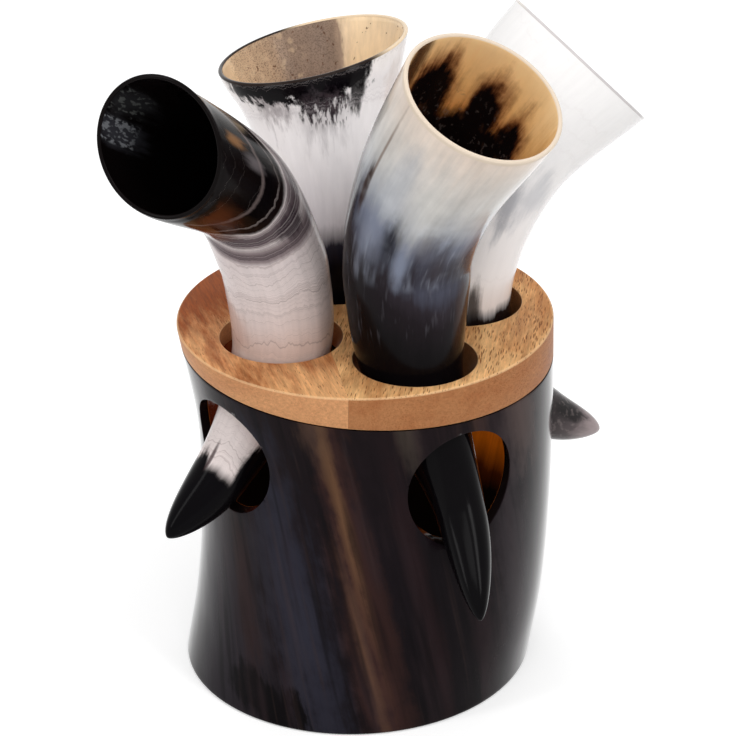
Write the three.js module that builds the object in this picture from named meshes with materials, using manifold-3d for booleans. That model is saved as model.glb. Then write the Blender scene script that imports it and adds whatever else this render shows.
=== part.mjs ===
// A set of four drinking horns in a stand made from one wide section of polished horn.
// The stand's wooden lid has four round holes and its wall has four more. Each horn stands
// in a lid hole with its mouth flaring outward, and its tip pokes out of the wall hole below.
// Millimetres, +Z up, origin at the middle of the stand's underside, -Y towards the viewer.
import * as THREE from 'three';
import { mergeVertices } from 'three/addons/utils/BufferGeometryUtils.js';
import Module from 'manifold-3d';

const wasm = await Module();
wasm.setup();

// Stand: an oval tube that leans a little, narrowest in the middle and widest at the lid
const STAND_HEIGHT = 100;
const STAND_LEVELS = [0, 0.2, 0.45, 0.72, 1];
const STAND_RADII = [47.7, 47.5, 47.2, 47.5, 49.6];
const STAND_SHIFTS = [0, 3.1, 4.8, 4.7, 2];
const STAND_OVAL = 0.962;
const STAND_OVAL_TURN = 38.5;
const WALL = 2.6;
const EDGE_BREAK = 0.7;

// Lid: two planks glued edge to edge, its underside sloping with the cut of the horn
const LID_THICKNESS = 7.6;
const LID_SLOPE = 0.07;
const LID_SLOPE_TOWARDS = -25;
const PLANK_JOINT_AT = -10.4;
const PLANK_JOINT_TURN = 10;
const GLUE_GAP = 0.3;

// Disc that closes the foot of the tube
const DISC_THICKNESS = 8;

// Holes for the horns
const LID_HOLE_DIAMETER = 31.4;
const LID_HOLE_CIRCLE = 25.6;
const LID_HOLE_CENTRE = [3.9, -2.9];
const LID_HOLE_FIRST = 24.4;
const SIDE_HOLE_DIAMETER = 30;
const SIDE_HOLE_TILT = 22;

// Horn cups: wall at the rim and deep inside, the solid length from the tip to the cup's bottom,
// the dip and rounding of that bottom, how much a horn slants on its way through the lid,
// and how fully it swells and how sharply it narrows towards its tip
const CUP_RIM_WALL = 1.2;
const CUP_DEEP_WALL = 3.4;
const CUP_SOLID_TIP = 64;
const CUP_BOTTOM_DIP = 1.6;
const CUP_ROUNDING_FROM = 0.8;
const CUP_ROUNDING = 0.6;
const HORN_SLANT = 0.3;
const TIP_SWELL = 1.5;
const TIP_TAPER = 0.6;

// Lengths of each horn. It stands off the middle of its lid hole by an offset, with play around it.
// Its wall hole lies at a drop below the lid's top, and the horn crosses the wall shifted along it
// and sagging below the hole's middle, with play around it. Its tip has a reach and a fall from there.
// Out and up are the places of its middle line from the lid's top to the mouth, and girth is its
// radius at each.
const RIGHT_LID_OFFSET = 1;
const RIGHT_LID_PLAY = 2.4;
const RIGHT_WALL_DROP = 32;
const RIGHT_WALL_SHIFT = 0;
const RIGHT_WALL_SAG = 5;
const RIGHT_WALL_PLAY = 8;
const RIGHT_TIP_REACH = 17.5;
const RIGHT_TIP_FALL = 8.5;
const RIGHT_OUT = [1.5, 9, 19, 31.3];
const RIGHT_UP = [17, 38, 52, 62.4];
const RIGHT_GIRTH = [13.6, 17, 20.3, 22.3];

const BACK_LID_OFFSET = 2;
const BACK_LID_PLAY = 2;
const BACK_WALL_DROP = 32;
const BACK_WALL_SHIFT = 0;
const BACK_WALL_SAG = 5;
const BACK_WALL_PLAY = 8;
const BACK_TIP_REACH = 17;
const BACK_TIP_FALL = 10;
const BACK_OUT = [-1, 1, 6, 12.5];
const BACK_UP = [17, 34, 48, 60];
const BACK_GIRTH = [14.4, 17, 20.6, 25.4];

const LEFT_LID_OFFSET = 2.4;
const LEFT_LID_PLAY = 2.2;
const LEFT_WALL_DROP = 26.5;
const LEFT_WALL_SHIFT = -2.3;
const LEFT_WALL_SAG = 5.6;
const LEFT_WALL_PLAY = 7.5;
const LEFT_TIP_REACH = 17.6;
const LEFT_TIP_FALL = 13.2;
const LEFT_OUT = [0.6, 3.5, 13.2, 38.5];
const LEFT_UP = [17.6, 27, 45, 63.8];
const LEFT_GIRTH = [13.4, 13.3, 13.5, 17.4];

const FRONT_LID_OFFSET = 0.4;
const FRONT_LID_PLAY = 1.9;
const FRONT_WALL_DROP = 30;
const FRONT_WALL_SHIFT = -0.8;
const FRONT_WALL_SAG = 6.4;
const FRONT_WALL_PLAY = 8.6;
const FRONT_TIP_REACH = 20;
const FRONT_TIP_FALL = 19.9;
const FRONT_OUT = [-3.3, -2.6, 6.2, 28.6];
const FRONT_UP = [17, 30, 50, 79.3];
const FRONT_GIRTH = [15.6, 16.3, 17.6, 19.8];

// The horns: which lid hole each stands in, the directions of its parts and its lengths.
// Angles are in degrees, counted from +X towards +Y.
const HORNS = [
  {
    name: 'horn_right',
    color: 0xe9e2e0,
    lid: { hole: 0, towards: 24, offset: RIGHT_LID_OFFSET, play: RIGHT_LID_PLAY },
    side: {
      azimuth: 21,
      drop: RIGHT_WALL_DROP,
      shift: RIGHT_WALL_SHIFT,
      sag: RIGHT_WALL_SAG,
      play: RIGHT_WALL_PLAY,
    },
    tip: { azimuth: 12, reach: RIGHT_TIP_REACH, fall: RIGHT_TIP_FALL },
    bend: 22,
    out: RIGHT_OUT,
    up: RIGHT_UP,
    girth: RIGHT_GIRTH,
    mouth: { azimuth: 17, tilt: 45 },
  },
  {
    name: 'horn_back',
    color: 0xd9d4cf,
    lid: { hole: 1, towards: 114, offset: BACK_LID_OFFSET, play: BACK_LID_PLAY },
    side: {
      azimuth: 120,
      drop: BACK_WALL_DROP,
      shift: BACK_WALL_SHIFT,
      sag: BACK_WALL_SAG,
      play: BACK_WALL_PLAY,
    },
    tip: { azimuth: 118, reach: BACK_TIP_REACH, fall: BACK_TIP_FALL },
    bend: 110,
    out: BACK_OUT,
    up: BACK_UP,
    girth: BACK_GIRTH,
    mouth: { azimuth: 166, tilt: 13 },
  },
  {
    name: 'horn_left',
    color: 0x8d8284,
    lid: { hole: 2, towards: 262, offset: LEFT_LID_OFFSET, play: LEFT_LID_PLAY },
    side: {
      azimuth: 217.5,
      drop: LEFT_WALL_DROP,
      shift: LEFT_WALL_SHIFT,
      sag: LEFT_WALL_SAG,
      play: LEFT_WALL_PLAY,
    },
    tip: { azimuth: 218, reach: LEFT_TIP_REACH, fall: LEFT_TIP_FALL },
    bend: 226,
    out: LEFT_OUT,
    up: LEFT_UP,
    girth: LEFT_GIRTH,
    mouth: { azimuth: 241, tilt: 82 },
  },
  {
    name: 'horn_front',
    color: 0x6f6a6c,
    lid: { hole: 3, towards: 215, offset: FRONT_LID_OFFSET, play: FRONT_LID_PLAY },
    side: {
      azimuth: 298.8,
      drop: FRONT_WALL_DROP,
      shift: FRONT_WALL_SHIFT,
      sag: FRONT_WALL_SAG,
      play: FRONT_WALL_PLAY,
    },
    tip: { azimuth: 283.5, reach: FRONT_TIP_REACH, fall: FRONT_TIP_FALL },
    bend: 302,
    out: FRONT_OUT,
    up: FRONT_UP,
    girth: FRONT_GIRTH,
    mouth: { azimuth: -47, tilt: 31.5 },
  },
];

// Colour and roughness of the stand's pieces, and the roughness of the polished horns
const FINISHES = {
  horn_shell: { color: 0x2a2220, roughness: 0.18 },
  foot_disc: { color: 0xa87a4c, roughness: 0.55 },
  lid_plank_left: { color: 0xb98458, roughness: 0.5 },
  lid_plank_right: { color: 0xc79a5e, roughness: 0.5 },
};
const HORN_ROUGHNESS = 0.22;

// Steps of the faceted surfaces
const STAND_SIDES = 56;
const STAND_RINGS = 8;
const HOLE_SIDES = 36;
const HORN_SIDES = 24;
const HORN_RINGS = 22;
const CUP_RINGS = 11;
const TIP_CROWDING = 1.6;
const MOUTH_BLEND_AT = 0.72;
const BEYOND = 20;
const HALF_SPACE = 800;
const MERGE_WITHIN = 1e-4;

const { degToRad, lerp, smoothstep } = THREE.MathUtils;

// Directions and places in plan
function planDirection(degrees) {
  return new THREE.Vector3(Math.cos(degToRad(degrees)), Math.sin(degToRad(degrees)), 0);
}

// A closed surface through rings of equal count, with a pole at each end
function ringSolid(startPole, rings, endPole) {
  const sides = rings[0].length;
  const points = [startPole, ...rings.flat(), endPole];
  const last = points.length - 1;
  const index = [];
  const vertex = (ring, side) => 1 + ring * sides + (side % sides);
  for (let side = 0; side < sides; side += 1) {
    index.push(0, vertex(0, side + 1), vertex(0, side));
    for (let ring = 0; ring + 1 < rings.length; ring += 1) {
      const a = vertex(ring, side);
      const b = vertex(ring, side + 1);
      const c = vertex(ring + 1, side + 1);
      const d = vertex(ring + 1, side);
      index.push(a, b, c, a, c, d);
    }
    index.push(last, vertex(rings.length - 1, side), vertex(rings.length - 1, side + 1));
  }
  const geometry = new THREE.BufferGeometry().setFromPoints(points);
  geometry.setIndex(index);
  return geometry;
}

// Boolean cuts between closed three.js surfaces
function toSolid(geometry) {
  const bare = geometry.clone();
  bare.deleteAttribute('normal');
  bare.deleteAttribute('uv');
  const merged = mergeVertices(bare, MERGE_WITHIN);
  const vertProperties = new Float32Array(merged.attributes.position.array);
  const triVerts = new Uint32Array(merged.index.array);
  return new wasm.Manifold(new wasm.Mesh({ numProp: 3, vertProperties, triVerts }));
}

function toGeometry(solid) {
  const mesh = solid.getMesh();
  const geometry = new THREE.BufferGeometry();
  geometry.setAttribute('position', new THREE.BufferAttribute(new Float32Array(mesh.vertProperties), 3));
  geometry.setIndex(new THREE.BufferAttribute(new Uint32Array(mesh.triVerts), 1));
  return geometry;
}

// The stand's outer form: ring centre, long half-width and height along one smooth curve
const standCurve = new THREE.CatmullRomCurve3(STAND_LEVELS.map(
  (level, i) => new THREE.Vector3(STAND_SHIFTS[i], STAND_RADII[i], level * STAND_HEIGHT),
));

function standRing(at, inset) {
  const { x: shift, y: radius, z: height } = standCurve.getPoint(at);
  const long = radius - inset;
  const short = radius * STAND_OVAL - inset;
  const turn = degToRad(STAND_OVAL_TURN);
  return Array.from({ length: STAND_SIDES }, (_, side) => {
    const angle = (2 * Math.PI * side) / STAND_SIDES;
    const point = new THREE.Vector3(long * Math.cos(angle), short * Math.sin(angle), height);
    point.applyAxisAngle(new THREE.Vector3(0, 0, 1), turn);
    point.x += shift;
    return point;
  });
}

function standRings(inset) {
  return Array.from({ length: STAND_RINGS + 1 }, (_, i) => standRing(i / STAND_RINGS, inset));
}

function poleOf(ring) {
  const sum = ring.reduce((total, point) => total.add(point), new THREE.Vector3());
  return sum.divideScalar(ring.length);
}

// The stand as one block, with its top and bottom edges broken
function standBlock() {
  const rings = standRings(0);
  const top = standRing(1, EDGE_BREAK);
  const bottom = standRing(0, EDGE_BREAK);
  rings[0].forEach((point) => { point.z += EDGE_BREAK; });
  rings[STAND_RINGS].forEach((point) => { point.z -= EDGE_BREAK; });
  return toSolid(ringSolid(poleOf(bottom), [bottom, ...rings, top], poleOf(top)));
}

// The space inside the wall, drawn in by a gap and running out past the foot and the lid
function standCore(gap) {
  const rings = standRings(WALL + gap);
  rings[0].forEach((point) => { point.z -= BEYOND; });
  rings[STAND_RINGS].forEach((point) => { point.z += BEYOND; });
  return toSolid(ringSolid(poleOf(rings[0]), rings, poleOf(rings[STAND_RINGS])));
}

// A block that takes in everything on one side of a plane
function halfSpace(origin, normal) {
  const geometry = new THREE.BoxGeometry(HALF_SPACE, HALF_SPACE, HALF_SPACE);
  const turn = new THREE.Quaternion().setFromUnitVectors(new THREE.Vector3(0, 0, 1), normal);
  geometry.translate(0, 0, HALF_SPACE / 2);
  geometry.applyQuaternion(turn);
  geometry.translate(origin.x, origin.y, origin.z);
  return toSolid(geometry);
}

// Where the holes are
function lidHoleCentre(hole) {
  const centre = new THREE.Vector3(...LID_HOLE_CENTRE, STAND_HEIGHT);
  return centre.addScaledVector(planDirection(LID_HOLE_FIRST + 90 * hole), LID_HOLE_CIRCLE);
}

function sideHoleCentre(side) {
  const height = STAND_HEIGHT - side.drop;
  const at = standCurve.getPoint(height / STAND_HEIGHT);
  const angle = degToRad(side.azimuth - STAND_OVAL_TURN);
  const reach = at.y * STAND_OVAL / Math.hypot(STAND_OVAL * Math.cos(angle), Math.sin(angle));
  return new THREE.Vector3(at.x, 0, height).addScaledVector(planDirection(side.azimuth), reach);
}

function bore(diameter, centre, direction) {
  const geometry = new THREE.CylinderGeometry(diameter / 2, diameter / 2, 2 * BEYOND, HOLE_SIDES);
  const turn = new THREE.Quaternion().setFromUnitVectors(new THREE.Vector3(0, 1, 0), direction);
  geometry.applyQuaternion(turn);
  geometry.translate(centre.x, centre.y, centre.z);
  return toSolid(geometry);
}

function sideBore(side) {
  const inward = planDirection(side.azimuth).negate().multiplyScalar(Math.cos(degToRad(SIDE_HOLE_TILT)));
  inward.z = Math.sin(degToRad(SIDE_HOLE_TILT));
  return bore(SIDE_HOLE_DIAMETER, sideHoleCentre(side), inward);
}

// Stand pieces
const block = standBlock();
const seamNormal = planDirection(LID_SLOPE_TOWARDS).multiplyScalar(LID_SLOPE);
seamNormal.z = 1;
seamNormal.normalize();
const seamPoint = new THREE.Vector3(0, 0, STAND_HEIGHT - LID_THICKNESS);
const aboveSeam = halfSpace(seamPoint, seamNormal);
const glueLine = seamPoint.clone().addScaledVector(seamNormal, -GLUE_GAP);
const belowSeam = halfSpace(glueLine, seamNormal.clone().negate());

function shellSolid() {
  const tube = block.subtract(standCore(0)).intersect(belowSeam);
  return HORNS.reduce((solid, horn) => solid.subtract(sideBore(horn.side)), tube);
}

function discSolid() {
  const top = halfSpace(new THREE.Vector3(0, 0, DISC_THICKNESS), new THREE.Vector3(0, 0, -1));
  return block.intersect(standCore(GLUE_GAP)).intersect(top);
}

function lidSolid() {
  const up = new THREE.Vector3(0, 0, 1);
  return HORNS.reduce(
    (solid, horn) => solid.subtract(bore(LID_HOLE_DIAMETER, lidHoleCentre(horn.lid.hole), up)),
    block.intersect(aboveSeam),
  );
}

function plankSolid(lid, sign) {
  const across = planDirection(PLANK_JOINT_TURN).multiplyScalar(sign);
  const edge = planDirection(PLANK_JOINT_TURN).multiplyScalar(PLANK_JOINT_AT);
  return lid.intersect(halfSpace(edge.addScaledVector(across, GLUE_GAP / 2), across));
}

// The middle line of a horn from its tip to its mouth, and its radius at the same places
function hornPath(horn) {
  const top = lidHoleCentre(horn.lid.hole);
  top.addScaledVector(planDirection(horn.lid.towards), horn.lid.offset);
  const foot = top.clone();
  foot.z -= LID_THICKNESS / 2;
  const crossing = sideHoleCentre(horn.side);
  crossing.addScaledVector(planDirection(horn.side.azimuth + 90), horn.side.shift);
  crossing.z -= horn.side.sag;
  const tip = crossing.clone().addScaledVector(planDirection(horn.tip.azimuth), horn.tip.reach);
  tip.z -= horn.tip.fall;
  const rise = horn.out.map((out, i) => {
    const point = top.clone().addScaledVector(planDirection(horn.bend), out);
    point.z += horn.up[i];
    return point;
  });
  return new THREE.CatmullRomCurve3([tip, crossing, foot, ...rise], false, 'centripetal');
}

// The radius along a horn: a blunt point up to the wall, then a smooth swell to the mouth
function hornGirth(horn) {
  const crossing = SIDE_HOLE_DIAMETER / 2 - horn.side.play;
  const foot = (LID_HOLE_DIAMETER - LID_THICKNESS * HORN_SLANT) / 2 - horn.lid.play;
  const radii = [crossing, foot, ...horn.girth];
  const swell = new THREE.SplineCurve(radii.map((radius, i) => new THREE.Vector2(i, radius)));
  const crossingAt = 1 / radii.length;
  return (at) => (at < crossingAt
    ? crossing * (1 - (1 - at / crossingAt) ** TIP_SWELL) ** TIP_TAPER
    : swell.getPoint((at - crossingAt) / (1 - crossingAt)).y);
}

// A horn cup: solid at the tip, hollow from its mouth to below the lid
function hornGeometry(horn) {
  const path = hornPath(horn);
  const girth = hornGirth(horn);
  const sideways = planDirection(horn.bend + 90);
  const tilt = degToRad(horn.mouth.tilt);
  const rimNormal = planDirection(horn.mouth.azimuth).multiplyScalar(Math.sin(tilt));
  rimNormal.z = Math.cos(tilt);
  const ringAt = (at, inset, scale = 1) => {
    const facing = path.getTangent(at);
    facing.lerp(rimNormal, smoothstep(at, MOUTH_BLEND_AT, 1)).normalize();
    const across = sideways.clone().addScaledVector(facing, -sideways.dot(facing)).normalize();
    const along = new THREE.Vector3().crossVectors(across, facing);
    const radius = (girth(at) - inset) * scale;
    return Array.from({ length: HORN_SIDES }, (_, side) => {
      const angle = (2 * Math.PI * side) / HORN_SIDES;
      const point = path.getPoint(at).addScaledVector(along, radius * Math.cos(angle));
      return point.addScaledVector(across, radius * Math.sin(angle));
    });
  };
  const outer = Array.from({ length: HORN_RINGS }, (_, i) => {
    const share = (i + 1) / HORN_RINGS;
    return ringAt(share ** TIP_CROWDING, 0);
  });
  const bottomAt = path.getUtoTmapping(CUP_SOLID_TIP / path.getLength());
  const inner = Array.from({ length: CUP_RINGS + 1 }, (_, i) => {
    const depth = i / CUP_RINGS;
    const rounding = Math.sqrt(1 - smoothstep(depth, CUP_ROUNDING_FROM, 1) * CUP_ROUNDING);
    return ringAt(lerp(1, bottomAt, depth), lerp(CUP_RIM_WALL, CUP_DEEP_WALL, depth), rounding);
  });
  const cupPole = path.getPoint(bottomAt).addScaledVector(path.getTangent(bottomAt), -CUP_BOTTOM_DIP);
  return ringSolid(path.getPoint(0), [...outer, ...inner], cupPole);
}

// The set, one mesh for each piece
const set = new THREE.Group();

function addPiece(name, geometry, finish) {
  geometry.computeVertexNormals();
  const mesh = new THREE.Mesh(geometry, new THREE.MeshStandardMaterial({ ...finish, metalness: 0 }));
  mesh.name = name;
  set.add(mesh);
}

function addStandPiece(name, solid) {
  addPiece(name, toGeometry(solid), FINISHES[name]);
}

const lid = lidSolid();
addStandPiece('horn_shell', shellSolid());
addStandPiece('foot_disc', discSolid());
addStandPiece('lid_plank_left', plankSolid(lid, -1));
addStandPiece('lid_plank_right', plankSolid(lid, 1));
HORNS.forEach((horn) => {
  addPiece(horn.name, hornGeometry(horn), { color: horn.color, roughness: HORN_ROUGHNESS });
});

export default set;
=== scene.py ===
"""Looks of a drinking horn set: four polished horns in a stand of dark horn with a wooden lid."""
import logging
import math
from dataclasses import dataclass, field
from enum import Enum
from typing import Any, ClassVar, Sequence

import bmesh
import bpy
import numpy as np
from mathutils import Matrix, Vector


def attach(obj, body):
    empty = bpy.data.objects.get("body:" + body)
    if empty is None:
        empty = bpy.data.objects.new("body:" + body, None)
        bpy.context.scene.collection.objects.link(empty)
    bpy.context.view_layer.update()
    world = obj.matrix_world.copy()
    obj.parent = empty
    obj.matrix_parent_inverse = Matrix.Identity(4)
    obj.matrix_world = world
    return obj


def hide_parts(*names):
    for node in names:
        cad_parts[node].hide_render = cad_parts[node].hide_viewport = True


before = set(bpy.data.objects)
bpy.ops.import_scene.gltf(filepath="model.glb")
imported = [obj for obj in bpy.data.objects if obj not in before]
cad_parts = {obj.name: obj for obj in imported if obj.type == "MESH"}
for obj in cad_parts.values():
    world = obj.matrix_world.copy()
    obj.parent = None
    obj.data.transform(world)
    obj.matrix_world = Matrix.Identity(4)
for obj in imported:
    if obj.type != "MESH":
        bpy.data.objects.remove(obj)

LOG = logging.getLogger("horn_set")
MM = 0.001
UP = Vector((0.0, 0.0, 1.0))
Colour = int  # as it looks on a screen, 0xRRGGBB
Socket = bpy.types.NodeSocket
Wire = Socket | float | tuple[float, ...]
WHITE = (1.0, 1.0, 1.0, 1.0)
BLACK = (0.0, 0.0, 0.0, 1.0)
SHARP = math.radians(40.0)
QUARTER = 90.0
EASE_SEGMENTS = 3
QUAD = 4
CLEAN_BEFORE = 0.5
CLEAN_AFTER = 0.125


class Slot(Enum):
    """Material slots of the record."""

    DARK_HORN = "dark_horn"
    FOOT_WOOD = "foot_wood"
    TAN_WOOD = "tan_wood"
    GOLDEN_WOOD = "golden_wood"
    WHITE_HORN = "white_horn"
    STREAKED_HORN = "streaked_horn"
    BANDED_HORN = "banded_horn"
    SLATE_HORN = "slate_horn"


class Body(Enum):
    """Bodies of the frame."""

    STAND = "stand"
    RIGHT_CUP = "right_cup"
    BACK_CUP = "back_cup"
    LEFT_CUP = "left_cup"
    FRONT_CUP = "front_cup"


class Plank(Enum):
    """The two planks of the lid, by the side of the glue joint that they lie on."""

    LEFT = -1
    RIGHT = 1


def paint(colour: Colour) -> tuple[float, float, float, float]:
    """Turns a colour as it looks on a screen into linear light.

    Args:
        colour: As 0xRRGGBB.

    Returns:
        Red, green, blue and full opacity.
    """
    def linear(shift: int) -> float:
        """One channel in linear light."""
        value = (colour >> shift & 0xFF) / 0xFF
        return value / 12.92 if value <= 0.04045 else ((value + 0.055) / 1.055) ** 2.4

    return (linear(16), linear(8), linear(0), 1.0)


def plan_direction(degrees: float) -> Vector:
    """A unit vector in plan, counted from +X towards +Y."""
    return Vector((math.cos(math.radians(degrees)), math.sin(math.radians(degrees)), 0.0))


def smoothstep(value: float, low: float, high: float) -> float:
    """The usual smooth step from 0 at low to 1 at high."""
    share = min(max((value - low) / (high - low), 0.0), 1.0)
    return share * share * (3.0 - 2.0 * share)


def full_turn(sides: int) -> list[float]:
    """Even angles once around, in radians."""
    return [2.0 * math.pi * side / sides for side in range(sides)]


def quarter_turn(steps: int) -> list[float]:
    """Even angles from 0 to a right angle, in radians."""
    return [math.pi / 2 * step / steps for step in range(steps + 1)]


def locate(at: float, spans: int) -> tuple[int, float]:
    """Finds a share of a row of even spans.

    Args:
        at: From 0 to 1.
        spans: How many spans there are.

    Returns:
        The span that it lies in, and its share of that span.
    """
    place = min(max(at, 0.0), 1.0) * spans
    span = min(int(place), spans - 1)
    return span, place - span


def hermite(here: Any, there: Any, leave: Any, arrive: Any, share: float) -> Any:
    """A cubic between two numbers or points.

    Args:
        here, there: Its ends.
        leave, arrive: Its slopes there.
        share: From 0 at its start to 1 at its end.

    Returns:
        The number or point.
    """
    square = share * share
    cube = square * share
    return (
        here * (2 * cube - 3 * square + 1)
        + leave * (cube - 2 * square + share)
        + there * (3 * square - 2 * cube)
        + arrive * (cube - square)
    )


class SmoothPath:
    """A centripetal curve through a few points, from 0 at the first to 1 at the last."""

    TANGENT_STEP = 0.0005
    LENGTH_STEPS = 400

    def __init__(self, points: Sequence[Vector]) -> None:
        """Keeps the points and measures the curve.

        Args:
            points: The points that the curve passes through.
        """
        self.points = [Vector(point) for point in points]
        places = np.linspace(0.0, 1.0, self.LENGTH_STEPS + 1)
        line = np.array([self.point(at) for at in places])
        steps = np.linalg.norm(np.diff(line, axis=0), axis=1)
        self._places = places
        self._lengths = np.concatenate([[0.0], np.cumsum(steps)])
        self.length = float(self._lengths[-1])

    def point(self, at: float) -> Vector:
        """The point at a share of the curve's parameter.

        Args:
            at: From 0 to 1.

        Returns:
            The point.
        """
        spans = len(self.points) - 1
        span, share = locate(at, spans)
        here, there = self.points[span], self.points[span + 1]
        before = self.points[span - 1] if span > 0 else 2.0 * here - there
        after = self.points[span + 2] if span + 2 <= spans else 2.0 * there - here
        first, middle, last = (
            math.sqrt((b - a).length) for a, b in ((before, here), (here, there), (there, after))
        )
        leave = (here - before) / first - (there - before) / (first + middle) + (there - here) / middle
        arrive = (there - here) / middle - (after - here) / (middle + last) + (after - there) / last
        return hermite(here, there, leave * middle, arrive * middle, share)

    def tangent(self, at: float) -> Vector:
        """The unit direction of the curve at a share of its parameter."""
        low = max(at - self.TANGENT_STEP, 0.0)
        high = min(at + self.TANGENT_STEP, 1.0)
        return (self.point(high) - self.point(low)).normalized()

    def length_to(self, at: float) -> float:
        """The length of the curve from its start to a share of its parameter."""
        return float(np.interp(at, self._places, self._lengths))

    def at_length(self, length: float) -> float:
        """The share of the parameter at a length from the start."""
        return float(np.interp(length, self._lengths, self._places))


def swell(values: Sequence[float], at: float) -> float:
    """A smooth curve of numbers at even steps.

    Args:
        values: The numbers that the curve passes through.
        at: From 0 to 1.

    Returns:
        The number there.
    """
    last = len(values) - 1
    span, share = locate(at, last)
    before, here = values[max(span - 1, 0)], values[span]
    there, after = values[span + 1], values[min(span + 2, last)]
    return hermite(here, there, (there - before) / 2, (after - here) / 2, share)


def add_object(name: str, data: bpy.types.ID) -> bpy.types.Object:
    """Puts a new object into the scene.

    Args:
        name: The object's name.
        data: Its mesh, lamp or camera.

    Returns:
        The object.
    """
    thing = bpy.data.objects.new(name, data)
    bpy.context.scene.collection.objects.link(thing)
    return thing


def add_block(name: str, work: bmesh.types.BMesh, place: Matrix) -> bpy.types.Object:
    """Turns a work mesh into an object.

    Args:
        name: The object's name.
        work: The work mesh, which is freed.
        place: Where it goes, in metres.

    Returns:
        The object.
    """
    mesh = bpy.data.meshes.new(name)
    work.to_mesh(mesh)
    work.free()
    mesh.transform(place)
    return add_object(name, mesh)


def seat(piece: bpy.types.Object, body: Body, node: str) -> bpy.types.Object:
    """Lets a piece ride on a body in place of its solid.

    Args:
        piece: The object.
        body: What it rides on.
        node: The solid that it replaces.

    Returns:
        The piece.
    """
    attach(piece, body.value)
    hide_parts(node)
    return piece


@dataclass
class RingSurface:
    """A closed surface through rings of equal count, with what its finish needs at each point.

    A point's place is where it would lie if the piece were straight: across, across and along,
    in millimetres. Its inside value goes from 0 on the outer face over the cut edge to 1 on an inner wall.
    """

    name: str
    points: list[Vector] = field(default_factory=list)
    places: list[Vector] = field(default_factory=list)
    insides: list[float] = field(default_factory=list)
    rings: list[list[int]] = field(default_factory=list)

    def ring(self, points: Sequence[Vector], places: Sequence[Vector], inside: float) -> None:
        """Adds one ring.

        Args:
            points: The ring's points in millimetres.
            places: The place of each point on the straight piece.
            inside: From 0 on the outer face to 1 on an inner wall.
        """
        first = len(self.points)
        self.points.extend(points)
        self.places.extend(places)
        self.insides.extend([inside] * len(points))
        self.rings.append(list(range(first, first + len(points))))

    def to_object(self, loop: bool = False) -> bpy.types.Object:
        """Makes the mesh object.

        Args:
            loop: Joins the last ring to the first; otherwise both ends are closed by a face.

        Returns:
            The new object, in metres.
        """
        faces = []
        pairs = list(zip(self.rings, self.rings[1:]))
        if loop:
            pairs.append((self.rings[-1], self.rings[0]))
        for low, high in pairs:
            for side in range(len(low)):
                after = (side + 1) % len(low)
                faces.append((low[side], low[after], high[after], high[side]))
        if not loop:
            faces.append(tuple(reversed(self.rings[0])))
            faces.append(tuple(self.rings[-1]))
        mesh = bpy.data.meshes.new(self.name)
        mesh.from_pydata([point * MM for point in self.points], [], faces)
        mesh.polygons.foreach_set("use_smooth", [True] * len(mesh.polygons))
        place = mesh.attributes.new("place", "FLOAT_VECTOR", "POINT")
        place.data.foreach_set("vector", [value for point in self.places for value in point])
        inside = mesh.attributes.new("inside", "FLOAT", "POINT")
        inside.data.foreach_set("value", self.insides)
        mesh.update()
        return add_object(self.name, mesh)


def cut(piece: bpy.types.Object, cutter: bpy.types.Object, operation: str) -> None:
    """Cuts a piece by another closed mesh, which is then deleted.

    Args:
        piece: The object that is cut.
        cutter: The object that cuts it.
        operation: DIFFERENCE or INTERSECT.
    """
    modifier = piece.modifiers.new("cut", "BOOLEAN")
    modifier.operation = operation
    modifier.solver = "EXACT"
    modifier.object = cutter
    shown = piece.evaluated_get(bpy.context.evaluated_depsgraph_get())
    mesh = bpy.data.meshes.new_from_object(shown)
    piece.modifiers.remove(modifier)
    before = piece.data
    piece.data = mesh
    bpy.data.meshes.remove(before)
    bpy.data.objects.remove(cutter)
    mesh.name = piece.name


def ease_edges(piece: bpy.types.Object, width: float, merge: float) -> None:
    """Rounds the sharp edges of a cut piece, shades the rest smooth and leaves no slivers.

    Args:
        piece: The object.
        width: Width of the rounding in millimetres.
        merge: Points closer than this many millimetres are joined first.
    """
    work = bmesh.new()
    work.from_mesh(piece.data)
    bmesh.ops.remove_doubles(work, verts=work.verts, dist=merge * MM)
    bmesh.ops.dissolve_degenerate(work, edges=work.edges, dist=merge * MM * CLEAN_BEFORE)
    edges = [edge for edge in work.edges if len(edge.link_faces) == 2 and edge.calc_face_angle(0.0) > SHARP]
    bmesh.ops.bevel(
        work, geom=edges, offset=width * MM, segments=EASE_SEGMENTS, profile=0.5, affect="EDGES",
        clamp_overlap=True,
    )
    many_sided = [face for face in work.faces if len(face.verts) > QUAD]
    bmesh.ops.triangulate(work, faces=many_sided, ngon_method="BEAUTY")
    bmesh.ops.dissolve_degenerate(work, edges=work.edges, dist=merge * MM * CLEAN_AFTER)
    work.to_mesh(piece.data)
    work.free()
    piece.data.polygons.foreach_set("use_smooth", [True] * len(piece.data.polygons))
    piece.data.set_sharp_from_angle(angle=SHARP)


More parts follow.
